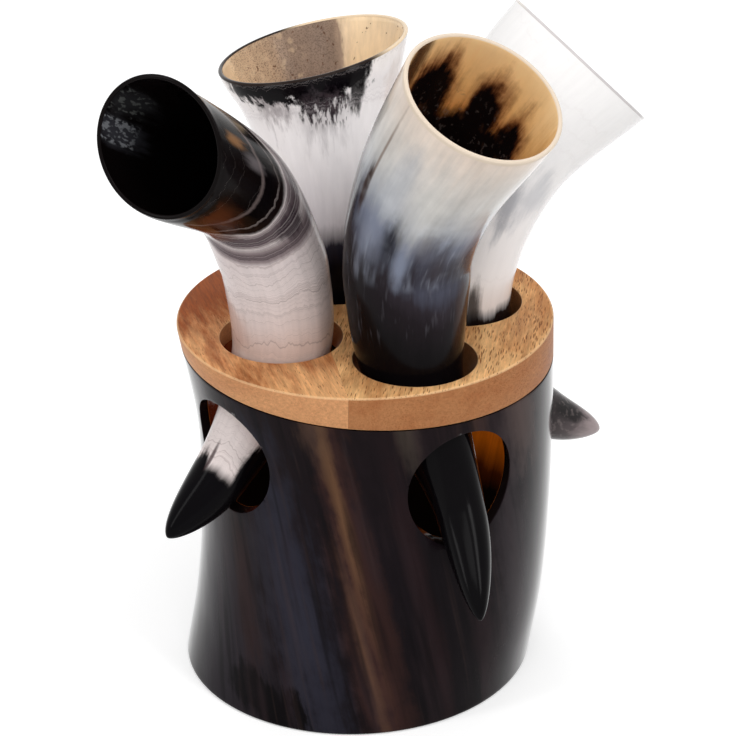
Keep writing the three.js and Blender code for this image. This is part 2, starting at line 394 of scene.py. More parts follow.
@dataclass
class StandForm:
    """The stand's form: an oval tube that leans a little, cut at a slant under its lid."""

    height: float = 100.0
    levels: tuple[float, ...] = (0.0, 0.2, 0.45, 0.72, 1.0)
    radii: tuple[float, ...] = (47.7, 47.5, 47.2, 47.5, 49.6)
    shifts: tuple[float, ...] = (0.0, 3.1, 4.8, 4.7, 2.0)
    oval: float = 0.962
    oval_turn: float = 38.5
    wall: float = 2.6
    edge_break: float = 0.7
    lid_thickness: float = 7.6
    lid_slope: float = 0.07
    lid_slope_towards: float = -25.0
    plank_joint_at: float = -10.4
    plank_joint_turn: float = 10.0
    glue_gap: float = 0.3
    disc_thickness: float = 8.0
    lid_hole_diameter: float = 31.4
    lid_hole_circle: float = 25.6
    lid_hole_centre: tuple[float, float] = (3.9, -2.9)
    lid_hole_first: float = 24.4
    side_hole_diameter: float = 30.0
    side_hole_tilt: float = 22.0

    PROFILE_STEPS = 240

    def __post_init__(self) -> None:
        """Samples the profile by height."""
        knots = zip(self.shifts, self.radii, self.levels)
        path = SmoothPath([Vector((shift, radius, level * self.height)) for shift, radius, level in knots])
        steps = [path.point(step / self.PROFILE_STEPS) for step in range(self.PROFILE_STEPS + 1)]
        self._heights = [point.z for point in steps]
        self._shifts = [point.x for point in steps]
        self._radii = [point.y for point in steps]

    def shift(self, height: float) -> float:
        """How far the tube has leaned towards +X at a height."""
        return float(np.interp(height, self._heights, self._shifts))

    def radius(self, height: float) -> float:
        """The long half-width of the tube at a height."""
        return float(np.interp(height, self._heights, self._radii))

    def point(self, angle: float, height: float, inset: float = 0.0) -> Vector:
        """A point on the tube.

        Args:
            angle: Around the oval, in radians, from its long axis.
            height: Above the foot.
            inset: How far inside the outer face.

        Returns:
            The point in millimetres.
        """
        reach = self.radius(height)
        long, short = reach - inset, reach * self.oval - inset
        flat = Vector((long * math.cos(angle), short * math.sin(angle), height))
        flat.rotate(Matrix.Rotation(math.radians(self.oval_turn), 3, "Z"))
        flat.x += self.shift(height)
        return flat

    def seam_height(self, angle: float, inset: float = 0.0) -> float:
        """The height of the slanting seam under the lid.

        Args:
            angle: Around the oval, in radians, from its long axis.
            inset: How far inside the outer face.

        Returns:
            The height in millimetres.
        """
        foot = self.height - self.lid_thickness
        flat = self.point(angle, foot, inset)
        return foot - self.lid_slope * flat.dot(plan_direction(self.lid_slope_towards))

    def lid_hole(self, hole: int) -> Vector:
        """The centre of a lid hole at the lid's top."""
        centre = Vector((*self.lid_hole_centre, self.height))
        return centre + plan_direction(self.lid_hole_first + QUARTER * hole) * self.lid_hole_circle

    def side_hole(self, azimuth: float, drop: float) -> Vector:
        """The centre of a wall hole on the outer face.

        Args:
            azimuth: Its direction from the tube's middle.
            drop: Its depth below the lid's top.

        Returns:
            The point in millimetres.
        """
        height = self.height - drop
        angle = math.radians(azimuth - self.oval_turn)
        reach = self.radius(height) * self.oval / math.hypot(self.oval * math.cos(angle), math.sin(angle))
        return Vector((self.shift(height), 0.0, height)) + plan_direction(azimuth) * reach


@dataclass
class HornCup:
    """One drinking horn: solid at the tip, hollow from its mouth to the lid.

    Its lid value holds the lid hole's number, the direction and length of the horn's offset in it, and its
    play. Its side value holds the wall hole's direction and depth, and the horn's shift, sag and play in it.
    Its tip holds the direction, reach and fall from there, and its mouth the direction and tilt of the rim.
    """

    node: str
    body: Body
    slot: Slot
    lid: tuple[int, float, float, float]
    side: tuple[float, float, float, float, float]
    tip: tuple[float, float, float]
    bend: float
    rise: tuple[tuple[float, float], ...]
    girth: tuple[float, ...]
    mouth: tuple[float, float]
    rim_wall: float = 1.2
    deep_wall: float = 3.4
    solid_tip: float = 64.0
    bottom_dip: float = 1.6
    slant: float = 0.3
    tip_swell: float = 1.5
    tip_taper: float = 0.6
    lip: float = 0.5

    SIDES = 112
    OUTER_RINGS = 150
    INNER_RINGS = 70
    BOTTOM_RINGS = 8
    LIP_STEPS = 5
    TIP_CROWDING = 1.6
    MOUTH_BLEND_AT = 0.72
    ROUNDING_FROM = 0.8
    ROUNDING = 0.6
    FIRST_RING = 0.25
    OUTER_LIP = 0.3
    INNER_LIP = 0.5

    def lay_out(self, stand: StandForm) -> None:
        """Works out the horn's middle line and its radius from the stand's holes.

        Args:
            stand: The stand that the horn stands in.
        """
        hole, towards, offset, lid_play = self.lid
        azimuth, drop, shift, sag, side_play = self.side
        top = stand.lid_hole(hole) + plan_direction(towards) * offset
        foot = top - UP * (stand.lid_thickness / 2)
        crossing = stand.side_hole(azimuth, drop) + plan_direction(azimuth + QUARTER) * shift - UP * sag
        tip_azimuth, reach, fall = self.tip
        tip = crossing + plan_direction(tip_azimuth) * reach - UP * fall
        rise = [top + plan_direction(self.bend) * out + UP * up for out, up in self.rise]
        self.path = SmoothPath([tip, crossing, foot, *rise])
        at_wall = stand.side_hole_diameter / 2 - side_play
        at_lid = (stand.lid_hole_diameter - stand.lid_thickness * self.slant) / 2 - lid_play
        self.radii = (at_wall, at_lid, *self.girth)
        azimuth, tilt = self.mouth
        self.rim_normal = plan_direction(azimuth) * math.sin(math.radians(tilt))
        self.rim_normal += UP * math.cos(math.radians(tilt))

    def radius(self, at: float) -> float:
        """The horn's outer radius: a blunt point, then a smooth swell.

        Args:
            at: Share of the path.

        Returns:
            The radius in millimetres.
        """
        wall_at = 1.0 / len(self.radii)
        if at < wall_at:
            return self.radii[0] * (1.0 - (1.0 - at / wall_at) ** self.tip_swell) ** self.tip_taper
        return swell(self.radii, (at - wall_at) / (1.0 - wall_at))

    def ring(self, at: float, inset: float, scale: float = 1.0, drop: float = 0.0) -> tuple[list, list]:
        """The points of one ring and their places on the straight horn.

        Args:
            at: Share of the path.
            inset: How far inside the outer face.
            scale: Shrinks the ring towards its middle.
            drop: How far the ring lies below its place, along its own axis.

        Returns:
            The points and the places, in millimetres.
        """
        facing = self.path.tangent(at)
        facing = facing.lerp(self.rim_normal, smoothstep(at, self.MOUTH_BLEND_AT, 1.0)).normalized()
        sideways = plan_direction(self.bend + QUARTER)
        across = (sideways - facing * sideways.dot(facing)).normalized()
        outward = across.cross(facing)
        outer = self.radius(at)
        radius = (outer - inset) * scale
        centre = self.path.point(at) - facing * drop
        length = self.path.length_to(at) - drop
        points, places = [], []
        for angle in full_turn(self.SIDES):
            points.append(centre + outward * radius * math.cos(angle) + across * radius * math.sin(angle))
            places.append(Vector((outer * math.cos(angle), outer * math.sin(angle), length)))
        return points, places

    def build(self) -> bpy.types.Object:
        """Makes the horn's mesh.

        Returns:
            The horn, riding on its body in place of its solid.
        """
        surface = RingSurface(self.node + "_polished")
        for step in range(self.OUTER_RINGS):
            at = ((step + self.FIRST_RING) / self.OUTER_RINGS) ** self.TIP_CROWDING
            surface.ring(*self.ring(at, 0.0), 0.0)
        turns = quarter_turn(self.LIP_STEPS)
        for turn in turns:
            inset, drop = self.lip * (1 - math.cos(turn)), self.lip * (1 - math.sin(turn))
            surface.ring(*self.ring(1.0, inset, drop=drop), self.OUTER_LIP)
        for turn in turns:
            inset = self.rim_wall - self.lip + self.lip * math.sin(turn)
            face = self.INNER_LIP if turn < turns[-2] else 1.0
            surface.ring(*self.ring(1.0, inset, drop=self.lip * (1 - math.cos(turn))), face)
        bottom = self.path.at_length(self.solid_tip)
        for step in range(1, self.INNER_RINGS + 1):
            depth = step / self.INNER_RINGS
            rounding = math.sqrt(1.0 - smoothstep(depth, self.ROUNDING_FROM, 1.0) * self.ROUNDING)
            at = 1.0 + (bottom - 1.0) * depth
            inset = self.rim_wall + (self.deep_wall - self.rim_wall) * depth
            surface.ring(*self.ring(at, inset, rounding), 1.0)
        for turn in quarter_turn(self.BOTTOM_RINGS)[1:-1]:
            scale = rounding * math.cos(turn)
            surface.ring(*self.ring(bottom, self.deep_wall, scale, self.bottom_dip * math.sin(turn)), 1.0)
        return seat(surface.to_object(), self.body, self.node)


@dataclass
class Stand:
    """The stand: a dark horn shell with wall holes, a foot disc and a lid of two planks."""

    form: StandForm
    horns: Sequence[HornCup]

    SIDES = 224
    WALL_RINGS = 110
    EDGE_STEPS = 4
    HOLE_SIDES = 112
    BEYOND = 20.0
    HALF_SPACE = 400.0
    STREAK_TWIST = 0.27
    TIGHT_JOINT = 0.04
    SHELL_EASE = (0.35, 0.12)
    PLANK_EASE = (0.3, 0.05)

    def seams(self, inset: float = 0.0) -> list[float]:
        """The height of the seam under the lid at each point around the tube."""
        return [self.form.seam_height(angle, inset) for angle in full_turn(self.SIDES)]

    def ring(self, surface: RingSurface, heights: Sequence[float], inset: float, inside: float) -> None:
        """Adds one ring of the tube to a surface.

        Args:
            surface: The surface that gets the ring.
            heights: The height of each point.
            inset: How far inside the outer face.
            inside: 1 on an inner wall, else 0.
        """
        pairs = zip(full_turn(self.SIDES), heights)
        points = [self.form.point(angle, height, inset) for angle, height in pairs]
        surface.ring(points, points, inside)

    def even(self, height: float) -> list[float]:
        """The same height all round."""
        return [height] * self.SIDES

    def bore(self, diameter: float, centre: Vector, direction: Vector) -> bpy.types.Object:
        """A round cutter.

        Args:
            diameter: Of the hole.
            centre: The middle of the cutter.
            direction: Along the hole.

        Returns:
            The cutter's object.
        """
        work = bmesh.new()
        radius = diameter / 2 * MM
        bmesh.ops.create_cone(
            work, cap_ends=True, segments=self.HOLE_SIDES, radius1=radius, radius2=radius,
            depth=2 * self.BEYOND * MM, matrix=direction.to_track_quat("Z", "Y").to_matrix().to_4x4(),
        )
        return add_block("bore", work, Matrix.Translation(centre * MM))

    def build_shell(self) -> bpy.types.Object:
        """Makes the dark horn tube with its wall holes.

        Returns:
            The shell.
        """
        form = self.form
        surface = RingSurface("horn_shell_polished")
        tops = [seam - form.glue_gap for seam in self.seams()]
        inner_tops = [seam - form.glue_gap for seam in self.seams(form.wall)]
        self.ring(surface, self.even(0.0), form.wall, 1.0)
        for turn in quarter_turn(self.EDGE_STEPS):
            height = form.edge_break * (1 - math.sin(math.pi / 2 - turn))
            self.ring(surface, self.even(height), form.edge_break * (1 - math.sin(turn)), 0.0)
        for step in range(1, self.WALL_RINGS + 1):
            share = step / self.WALL_RINGS
            heights = [form.edge_break + (top - form.edge_break) * share for top in tops]
            self.ring(surface, heights, 0.0, 0.0)
        for step in range(self.WALL_RINGS):
            share = step / self.WALL_RINGS
            self.ring(surface, [top * (1 - share) for top in inner_tops], form.wall, 1.0)
        piece = surface.to_object(loop=True)
        for horn in self.horns:
            azimuth, drop = horn.side[:2]
            inward = plan_direction(azimuth) * -math.cos(math.radians(form.side_hole_tilt))
            inward += UP * math.sin(math.radians(form.side_hole_tilt))
            centre = form.side_hole(azimuth, drop)
            cut(piece, self.bore(form.side_hole_diameter, centre, inward), "DIFFERENCE")
        ease_edges(piece, *self.SHELL_EASE)
        self.mark_shell(piece)
        return seat(piece, Body.STAND, "horn_shell")

    def mark_shell(self, piece: bpy.types.Object) -> None:
        """Writes the place and the depth in the wall at each point of the cut shell.

        Args:
            piece: The shell. Its places are twisted with the streaks of the horn.
        """
        form = self.form
        places, insides = [], []
        for vertex in piece.data.vertices:
            point = vertex.co / MM
            flat = Vector((point.x - form.shift(point.z), point.y))
            azimuth = math.degrees(math.atan2(flat.y, flat.x))
            face = form.side_hole(azimuth, form.height - point.z)
            reach = math.hypot(face.x - form.shift(point.z), face.y)
            insides.append(min(max((reach - flat.length) / form.wall, 0.0), 1.0))
            bearing = math.degrees(math.atan2(point.y, point.x))
            around = plan_direction(bearing + self.STREAK_TWIST * point.z)
            places.extend((around.x * reach, around.y * reach, point.z))
        piece.data.attributes["place"].data.foreach_set("vector", places)
        piece.data.attributes["inside"].data.foreach_set("value", insides)

    def build_plank(self, plank: Plank) -> bpy.types.Object:
        """Makes one plank of the lid.

        Args:
            plank: Which of the two.

        Returns:
            The plank.
        """
        form = self.form
        node = f"lid_plank_{plank.name.lower()}"
        surface = RingSurface(node + "_wood")
        self.ring(surface, self.seams(), 0.0, 0.0)
        for turn in quarter_turn(self.EDGE_STEPS):
            height = form.height - form.edge_break * (1 - math.sin(turn))
            self.ring(surface, self.even(height), form.edge_break * (1 - math.cos(turn)), 0.0)
        piece = surface.to_object()
        for horn in self.horns:
            cut(piece, self.bore(form.lid_hole_diameter, form.lid_hole(horn.lid[0]), UP), "DIFFERENCE")
        ease_edges(piece, *self.PLANK_EASE)
        cut(piece, self.half_space(plank), "INTERSECT")
        piece.data.set_sharp_from_angle(angle=SHARP)
        return seat(piece, Body.STAND, node)

    def half_space(self, plank: Plank) -> bpy.types.Object:
        """Makes a block on one side of the lid's glue joint.

        Args:
            plank: The plank on that side.

        Returns:
            The block's object.
        """
        form = self.form
        across = plan_direction(form.plank_joint_turn)
        edge = across * (form.plank_joint_at + plank.value * self.TIGHT_JOINT / 2)
        middle = edge + across * (plank.value * self.HALF_SPACE / 2)
        work = bmesh.new()
        bmesh.ops.create_cube(work, size=self.HALF_SPACE * MM)
        turn = Matrix.Rotation(math.radians(form.plank_joint_turn), 4, "Z")
        return add_block("half_space", work, Matrix.Translation(middle * MM) @ turn)

    def build_disc(self) -> bpy.types.Object:
        """Makes the wooden disc in the foot of the tube.

        Returns:
            The disc.
        """
        form = self.form
        inset = form.wall + form.glue_gap
        surface = RingSurface("foot_disc_wood")
        eased = form.edge_break / 2
        top = form.disc_thickness
        for height, pulled_in in ((0.0, eased), (eased, 0.0), (top - eased, 0.0), (top, eased)):
            self.ring(surface, self.even(height), inset + pulled_in, 0.0)
        piece = surface.to_object()
        piece.data.set_sharp_from_angle(angle=SHARP)
        return seat(piece, Body.STAND, "foot_disc")


HORNS = (
    HornCup(
        node="horn_right", body=Body.RIGHT_CUP, slot=Slot.WHITE_HORN,
        lid=(0, 24.0, 1.0, 2.4), side=(21.0, 32.0, 0.0, 5.0, 8.0), tip=(12.0, 17.5, 8.5), bend=22.0,
        rise=((1.5, 17.0), (9.0, 38.0), (19.0, 52.0), (31.3, 62.4)), girth=(13.6, 17.0, 20.3, 22.3),
        mouth=(17.0, 45.0),
    ),
    HornCup(
        node="horn_back", body=Body.BACK_CUP, slot=Slot.STREAKED_HORN,
        lid=(1, 114.0, 2.0, 2.0), side=(120.0, 32.0, 0.0, 5.0, 8.0), tip=(118.0, 17.0, 10.0), bend=110.0,
        rise=((-1.0, 17.0), (1.0, 34.0), (6.0, 48.0), (12.5, 60.0)), girth=(14.4, 17.0, 20.6, 25.4),
        mouth=(166.0, 13.0),
    ),
    HornCup(
        node="horn_left", body=Body.LEFT_CUP, slot=Slot.BANDED_HORN,
        lid=(2, 262.0, 2.4, 2.2), side=(217.5, 26.5, -2.3, 5.6, 7.5), tip=(218.0, 17.6, 13.2), bend=226.0,
        rise=((0.6, 17.6), (3.5, 27.0), (13.2, 45.0), (38.5, 63.8)), girth=(13.4, 13.3, 13.5, 17.4),
        mouth=(241.0, 82.0),
    ),
    HornCup(
        node="horn_front", body=Body.FRONT_CUP, slot=Slot.SLATE_HORN,
        lid=(3, 215.0, 0.4, 1.9), side=(298.8, 30.0, -0.8, 6.4, 8.6), tip=(283.5, 20.0, 19.9), bend=302.0,
        rise=((-3.3, 17.0), (-2.6, 30.0), (6.2, 50.0), (28.6, 79.3)), girth=(15.6, 16.3, 17.6, 19.8),
        mouth=(-47.0, 31.5),
    ),
)


class NodeBoard:
    """Sets nodes into one tree and wires them."""

    def __init__(self, tree: bpy.types.NodeTree) -> None:
        """Keeps the tree."""
        self.tree = tree

    def add(self, kind: str, inputs: dict[str | int, Wire] | None = None, **settings: Any) -> bpy.types.Node:
        """Adds a node.

        Args:
            kind: The node's type.
            inputs: What goes into its sockets, by name or number.
            settings: The node's own settings.

        Returns:
            The node.
        """
        node = self.tree.nodes.new(kind)
        for name, value in settings.items():
            setattr(node, name, value)
        for socket, value in (inputs or {}).items():
            self.feed(node.inputs[socket], value)
        return node

    def feed(self, socket: Socket, value: Wire) -> None:
        """Links a socket to another one, or sets its value.

        Args:
            socket: The socket.
            value: What goes into it.
        """
        if isinstance(value, bpy.types.NodeSocket):
            self.tree.links.new(value, socket)
        else:
            socket.default_value = value

    def math(self, operation: str, *values: Wire) -> Socket:
        """The result of a sum on one to three values."""
        return self.add("ShaderNodeMath", dict(enumerate(values)), operation=operation).outputs[0]

    def times(self, first: Wire, second: Wire) -> Socket:
        """A product."""
        return self.math("MULTIPLY", first, second)

    def less(self, first: Wire, second: Wire) -> Socket:
        """A difference."""
        return self.math("SUBTRACT", first, second)

    def line(self, value: Wire, slope: Wire, start: Wire) -> Socket:
        """A value times a slope, on top of a start."""
        return self.math("MULTIPLY_ADD", value, slope, start)

    def step(self, value: Wire, low: Wire, high: Wire) -> Socket:
        """A smooth step from 0 at low to 1 at high."""
        inputs = {"Value": value, "From Min": low, "From Max": high}
        return self.add("ShaderNodeMapRange", inputs, interpolation_type="SMOOTHSTEP").outputs[0]

    def between(self, value: Wire, low: Wire, high: Wire, fade: Wire) -> Socket:
        """1 between two limits, with a soft start and end."""
        start = self.step(value, low, self.math("ADD", low, fade))
        return self.times(start, self.step(value, high, self.less(high, fade)))

    def aside(self, turn: Wire, facing: Wire) -> Socket:
        """The way from one direction to another, from -180 to 180 degrees."""
        return self.math("WRAP", self.less(turn, facing), 180.0, -180.0)

    def towards(self, turn: Wire, facing: Wire) -> Socket:
        """1 in a direction, -1 on the far side."""
        return self.math("COSINE", self.math("RADIANS", self.less(turn, facing)))

    def blend(self, share: Wire, first: Wire, second: Wire, mode: str = "MIX") -> Socket:
        """A mix of two colours."""
        inputs = {0: share, 6: first, 7: second}
        return self.add("ShaderNodeMix", inputs, data_type="RGBA", blend_type=mode).outputs[2]

    def tint(self, share: Wire, first: Wire, colour: Colour) -> Socket:
        """A mix of a colour and a fixed one."""
        return self.blend(share, first, paint(colour))

    def stretch(self, place: Socket, across: Wire, along: Wire) -> Socket:
        """A place with its own scale across and along the piece."""
        scale = self.add("ShaderNodeCombineXYZ", {0: across, 1: across, 2: along}).outputs[0]
        return self.vector("MULTIPLY", place, scale)

    def vector(self, operation: str, *values: Wire, output: str | int = 0) -> Socket:
        """The result of a sum on one or two vectors."""
        return self.add("ShaderNodeVectorMath", dict(enumerate(values)), operation=operation).outputs[output]

    def noise(self, place: Socket, detail: Wire = 2.0, roughness: Wire = 0.5) -> Socket:
        """Soft noise between 0 and 1."""
        inputs = {"Vector": place, "Scale": 1.0, "Detail": detail, "Roughness": roughness}
        return self.add("ShaderNodeTexNoise", inputs).outputs[0]

    def bump(self, strength: float, depth: float, height: Socket) -> Socket:
        """The normal over a low relief, its depth in metres."""
        inputs = {"Strength": strength, "Distance": depth, "Height": height}
        return self.add("ShaderNodeBump", inputs).outputs[0]

    def ramp(self, share: Socket, stops: Sequence[tuple[float, Colour]]) -> Socket:
        """Lays colours along a share.

        Args:
            share: From 0 to 1.
            stops: Where each colour is pure.

        Returns:
            The colour.
        """
        node = self.add("ShaderNodeValToRGB", {0: share})
        elements = node.color_ramp.elements
        while len(elements) < len(stops):
            elements.new(1.0)
        for element, (place, colour) in zip(elements, stops):
            element.position = place
            element.color = paint(colour)
        return node.outputs[0]


class MaterialBoard(NodeBoard):
    """The board of a new material."""

    def __init__(self, name: str) -> None:
        """Makes the material."""
        self.material = bpy.data.materials.new(name)
        self.material.use_nodes = True
        super().__init__(self.material.node_tree)

    def shade(self, values: dict[str, Wire]) -> None:
        """Links or sets sockets of the material's shader, by name."""
        for name, value in values.items():
            self.feed(self.tree.nodes["Principled BSDF"].inputs[name], value)

    def cover(self, piece: bpy.types.Object) -> None:
        """Makes this a piece's only material."""
        piece.data.materials.clear()
        piece.data.materials.append(self.material)


def floats(*names: str) -> tuple[tuple[str, str], ...]:
    """Number sockets of an effect."""
    return tuple((name, "Float") for name in names)


PLACE = (("Place", "Vector"),)
MIDDLE = 0.5


class SharedEffect:
    """A shader effect that several finishes share, kept as one node group."""

    NAME = ""
    INPUTS: tuple[tuple[str, str], ...] = ()
    OUTPUTS: tuple[tuple[str, str], ...] = ()

    @classmethod
    def tree(cls) -> bpy.types.NodeTree:
        """Makes the effect's node group when it is first asked for.

        Returns:
            The node group.
        """
        known = bpy.data.node_groups.get(cls.NAME)
        if known is not None:
            return known
        tree = bpy.data.node_groups.new(cls.NAME, "ShaderNodeTree")
        for sockets, way in ((cls.INPUTS, "INPUT"), (cls.OUTPUTS, "OUTPUT")):
            for name, kind in sockets:
                tree.interface.new_socket(name=name, in_out=way, socket_type="NodeSocket" + kind)
        board = NodeBoard(tree)
        given = board.add("NodeGroupInput").outputs
        end = board.add("NodeGroupOutput")
        for name, socket in cls.draw(board, given).items():
            board.feed(end.inputs[name], socket)
        return tree

    @classmethod
    def draw(cls, board: NodeBoard, given: Any) -> dict[str, Socket]:
        """Draws the effect.

        Args:
            board: The group's board.
            given: The group's inputs, by name.

        Returns:
            What goes into each output.
        """
        raise NotImplementedError

    @classmethod
    def use(cls, board: NodeBoard, **inputs: Wire) -> Any:
        """Places the effect in a material.

        Args:
            board: The material's board.
            inputs: The effect's inputs.

        Returns:
            The effect's outputs, by name.
        """
        return board.add("ShaderNodeGroup", inputs, node_tree=cls.tree()).outputs


class HornPlace(SharedEffect):
    """Where a point lies on the straightened horn."""

    NAME = "Horn place"
    OUTPUTS = PLACE + floats("Along", "Turn", "Inside")

    @classmethod
    def draw(cls, board: NodeBoard, given: Any) -> dict[str, Socket]:
        """Reads the mesh's own place and inside values."""
        place = board.add("ShaderNodeAttribute", attribute_name="place").outputs["Vector"]
        inside = board.add("ShaderNodeAttribute", attribute_name="inside").outputs["Fac"]
        parts = board.add("ShaderNodeSeparateXYZ", {0: place}).outputs
        turn = board.math("DEGREES", board.math("ARCTAN2", parts[1], parts[0]))
        return {"Place": place, "Along": parts[2], "Turn": turn, "Inside": inside}


class Fibre(SharedEffect):
    """Streaks or clouds that run along the horn, about zero."""

    NAME = "Horn fibre"
    INPUTS = PLACE + floats("Across", "Along", "Detail", "Spread")
    OUTPUTS = floats("Fibre")
    ROUGHNESS = 0.6

    @classmethod
    def draw(cls, board: NodeBoard, given: Any) -> dict[str, Socket]:
        """Stretches noise along the horn."""
        drawn_out = board.stretch(given["Place"], given["Across"], given["Along"])
        noise = board.noise(drawn_out, given["Detail"], cls.ROUGHNESS)
        return {"Fibre": board.times(board.less(noise, MIDDLE), given["Spread"])}


class StainAndPaintedLightMask(SharedEffect):
    """A patch with a ragged end, as pigment lies in horn; the same patch also lays painted reflections and
    painted shade.
    """

    NAME = "Horn stain and painted light"
    INPUTS = floats(
        "Along", "Turn", "Ragged", "Centre", "Reach", "Facing", "Sweep", "Jag", "Softness", "Fray",
    )
    OUTPUTS = floats("Mask")

    @classmethod
    def draw(cls, board: NodeBoard, given: Any) -> dict[str, Socket]:
        """Measures the way to the patch's middle, pulled about by the fibre."""
        pulled = board.line(given["Ragged"], given["Jag"], given["Along"])
        along = board.math("DIVIDE", board.less(pulled, given["Centre"]), given["Reach"])
        around = board.math("DIVIDE", board.aside(given["Turn"], given["Facing"]), given["Sweep"])
        square = board.math("ADD", board.times(along, along), board.times(around, around))
        way = board.math("ADD", board.math("SQRT", square), given["Fray"])
        far = board.math("ADD", 1.0, given["Softness"])
        return {"Mask": board.step(way, far, board.less(1.0, given["Softness"]))}


class GrowthRings(SharedEffect):
    """Thin wavering lines across the horn, one for each spell of growth."""

    NAME = "Horn growth lines"
    INPUTS = PLACE + floats("Banded", "Low", "High", "Fade", "Spacing", "Wander", "Width")
    OUTPUTS = floats("Mask")
    # Noise scales across and along the horn, per mm.
    SLOW = (0.07, 0.02)
    QUICK = (0.5, 0.06)
    QUICK_SHARE = 0.3
    SWING = 2.0

    @classmethod
    def draw(cls, board: NodeBoard, given: Any) -> dict[str, Socket]:
        """Bends the length by noise and draws a line wherever a slow noise along it passes its middle."""
        slow = board.less(board.noise(board.stretch(given["Place"], *cls.SLOW), detail=1.0), MIDDLE)
        quick = board.less(board.noise(board.stretch(given["Place"], *cls.QUICK)), MIDDLE)
        sway = board.times(board.line(quick, cls.QUICK_SHARE, slow), given["Wander"])
        rows = board.math("DIVIDE", board.line(sway, cls.SWING, given["Banded"]), given["Spacing"])
        inputs = {"W": rows, "Scale": 1.0, "Detail": 3.0, "Roughness": 0.6}
        noise = board.add("ShaderNodeTexNoise", inputs, noise_dimensions="1D").outputs[0]
        line = board.step(board.math("ABSOLUTE", board.less(noise, MIDDLE)), given["Width"], 0.0)
        reach = board.between(given["Banded"], given["Low"], given["High"], given["Fade"])
        return {"Mask": board.times(line, reach)}


class Flecks(SharedEffect):
    """Scattered small specks within one stretch of the horn."""

    NAME = "Horn flecks"
    INPUTS = PLACE + floats(
        "Along", "Low", "High", "Fade", "Across", "Lengthwise", "Level", "Softness",
        "Turn", "Facing", "Sweep",
    )
    OUTPUTS = floats("Mask")
    THIN_FROM = 0.8

    @classmethod
    def draw(cls, board: NodeBoard, given: Any) -> dict[str, Socket]:
        """Keeps the peaks of a noise."""
        noise = board.noise(board.stretch(given["Place"], given["Across"], given["Lengthwise"]))
        peak = board.step(noise, given["Level"], board.math("ADD", given["Level"], given["Softness"]))
        turn = board.math("ABSOLUTE", board.aside(given["Turn"], given["Facing"]))
        around = board.step(board.math("DIVIDE", turn, given["Sweep"]), 1.0, cls.THIN_FROM)
        reach = board.between(given["Along"], given["Low"], given["High"], given["Fade"])
        return {"Mask": board.times(peak, board.times(reach, around))}


class Polish(SharedEffect):
    """The uneven gloss and the faint waves of a surface that was polished by hand."""

    NAME = "Hand polish"
    INPUTS = PLACE + floats("Roughness", "Spread")
    OUTPUTS = floats("Roughness", "Height")
    # Noise scales across and along the piece, per mm.
    BROAD = (0.09, 0.04)
    RUBS = (1.6, 0.09)
    WAVES = (0.11, 0.06)
    RUB_SHARE = 0.5
    RUB_DEPTH = 0.05
    SMOOTHEST = 0.04

    @classmethod
    def draw(cls, board: NodeBoard, given: Any) -> dict[str, Socket]:
        """Mixes broad dull areas, fine rubbing marks and low waves."""
        place = given["Place"]
        broad = board.noise(board.stretch(place, *cls.BROAD), detail=4.0, roughness=0.6)
        rubs = board.noise(board.stretch(place, *cls.RUBS), detail=3.0, roughness=0.7)
        waves = board.noise(board.stretch(place, *cls.WAVES), detail=1.0)
        dull = board.line(board.less(rubs, MIDDLE), cls.RUB_SHARE, board.less(broad, MIDDLE))
        rough = board.line(dull, given["Spread"], given["Roughness"])
        height = board.line(rubs, cls.RUB_DEPTH, waves)
        return {"Roughness": board.math("MAXIMUM", rough, cls.SMOOTHEST), "Height": height}


class WoodGrain(SharedEffect):
    """Figure and open pores of a sawn plank, its grain along the second axis."""

    NAME = "Wood grain"
    INPUTS = PLACE + floats("Level")
    OUTPUTS = floats("Figure", "Fibre", "Pores", "Height", "Side", "Edge")
    # Noise scales across and along the grain, per mm.
    FIGURE = (0.17, 0.04)
    FIBRES = (1.5, 0.12)
    PORES = (2.2, 0.24)
    PORE_PATCHES = (0.1, 0.05)
    PORE_PEAK = 2.0
    PORE_CORE = 0.55
    FIBRE_DEPTH = 0.35
    SIDE = (0.8, 0.35)
    # Heights of the normal that mark the rounded top edge, which gets the wood's painted edge highlight.
    EDGE_LOW = (0.15, 0.4)
    EDGE_HIGH = (0.99, 0.9)

    @classmethod
    def draw(cls, board: NodeBoard, given: Any) -> dict[str, Socket]:
        """Draws broad figure, fine fibre and short dark pores, and tells side and edge by the normal."""
        figure_at, fibre_at, pores_at, patches_at = (
            board.vector("MULTIPLY", given["Place"], (across, along, across))
            for across, along in (cls.FIGURE, cls.FIBRES, cls.PORES, cls.PORE_PATCHES)
        )
        fibre = board.noise(fibre_at, detail=5.0, roughness=0.75)
        cells = {"Vector": pores_at, "Scale": 1.0, "Randomness": 1.0}
        spot = board.add("ShaderNodeTexVoronoi", cells).outputs["Distance"]
        level = board.times(given["Level"], board.times(board.noise(patches_at), cls.PORE_PEAK))
        pores = board.step(spot, level, board.times(level, cls.PORE_CORE))
        normal = board.add("ShaderNodeNewGeometry").outputs["Normal"]
        upright = board.add("ShaderNodeSeparateXYZ", {0: normal}).outputs[2]
        return {
            "Figure": board.noise(figure_at, detail=5.0, roughness=0.65), "Fibre": fibre, "Pores": pores,
            "Height": board.less(board.times(fibre, cls.FIBRE_DEPTH), pores),
            "Side": board.step(board.math("ABSOLUTE", upright), *cls.SIDE),
            "Edge": board.times(board.step(upright, *cls.EDGE_LOW), board.step(upright, *cls.EDGE_HIGH)),
        }


@dataclass(frozen=True)
class Cues:
    """What a horn's markings go by: places, lengths with and without the bands' jags, and raggedness."""

    place: Socket
    along: Socket
    turn: Socket
    banded: Socket
    ragged: Socket
    fray: Socket


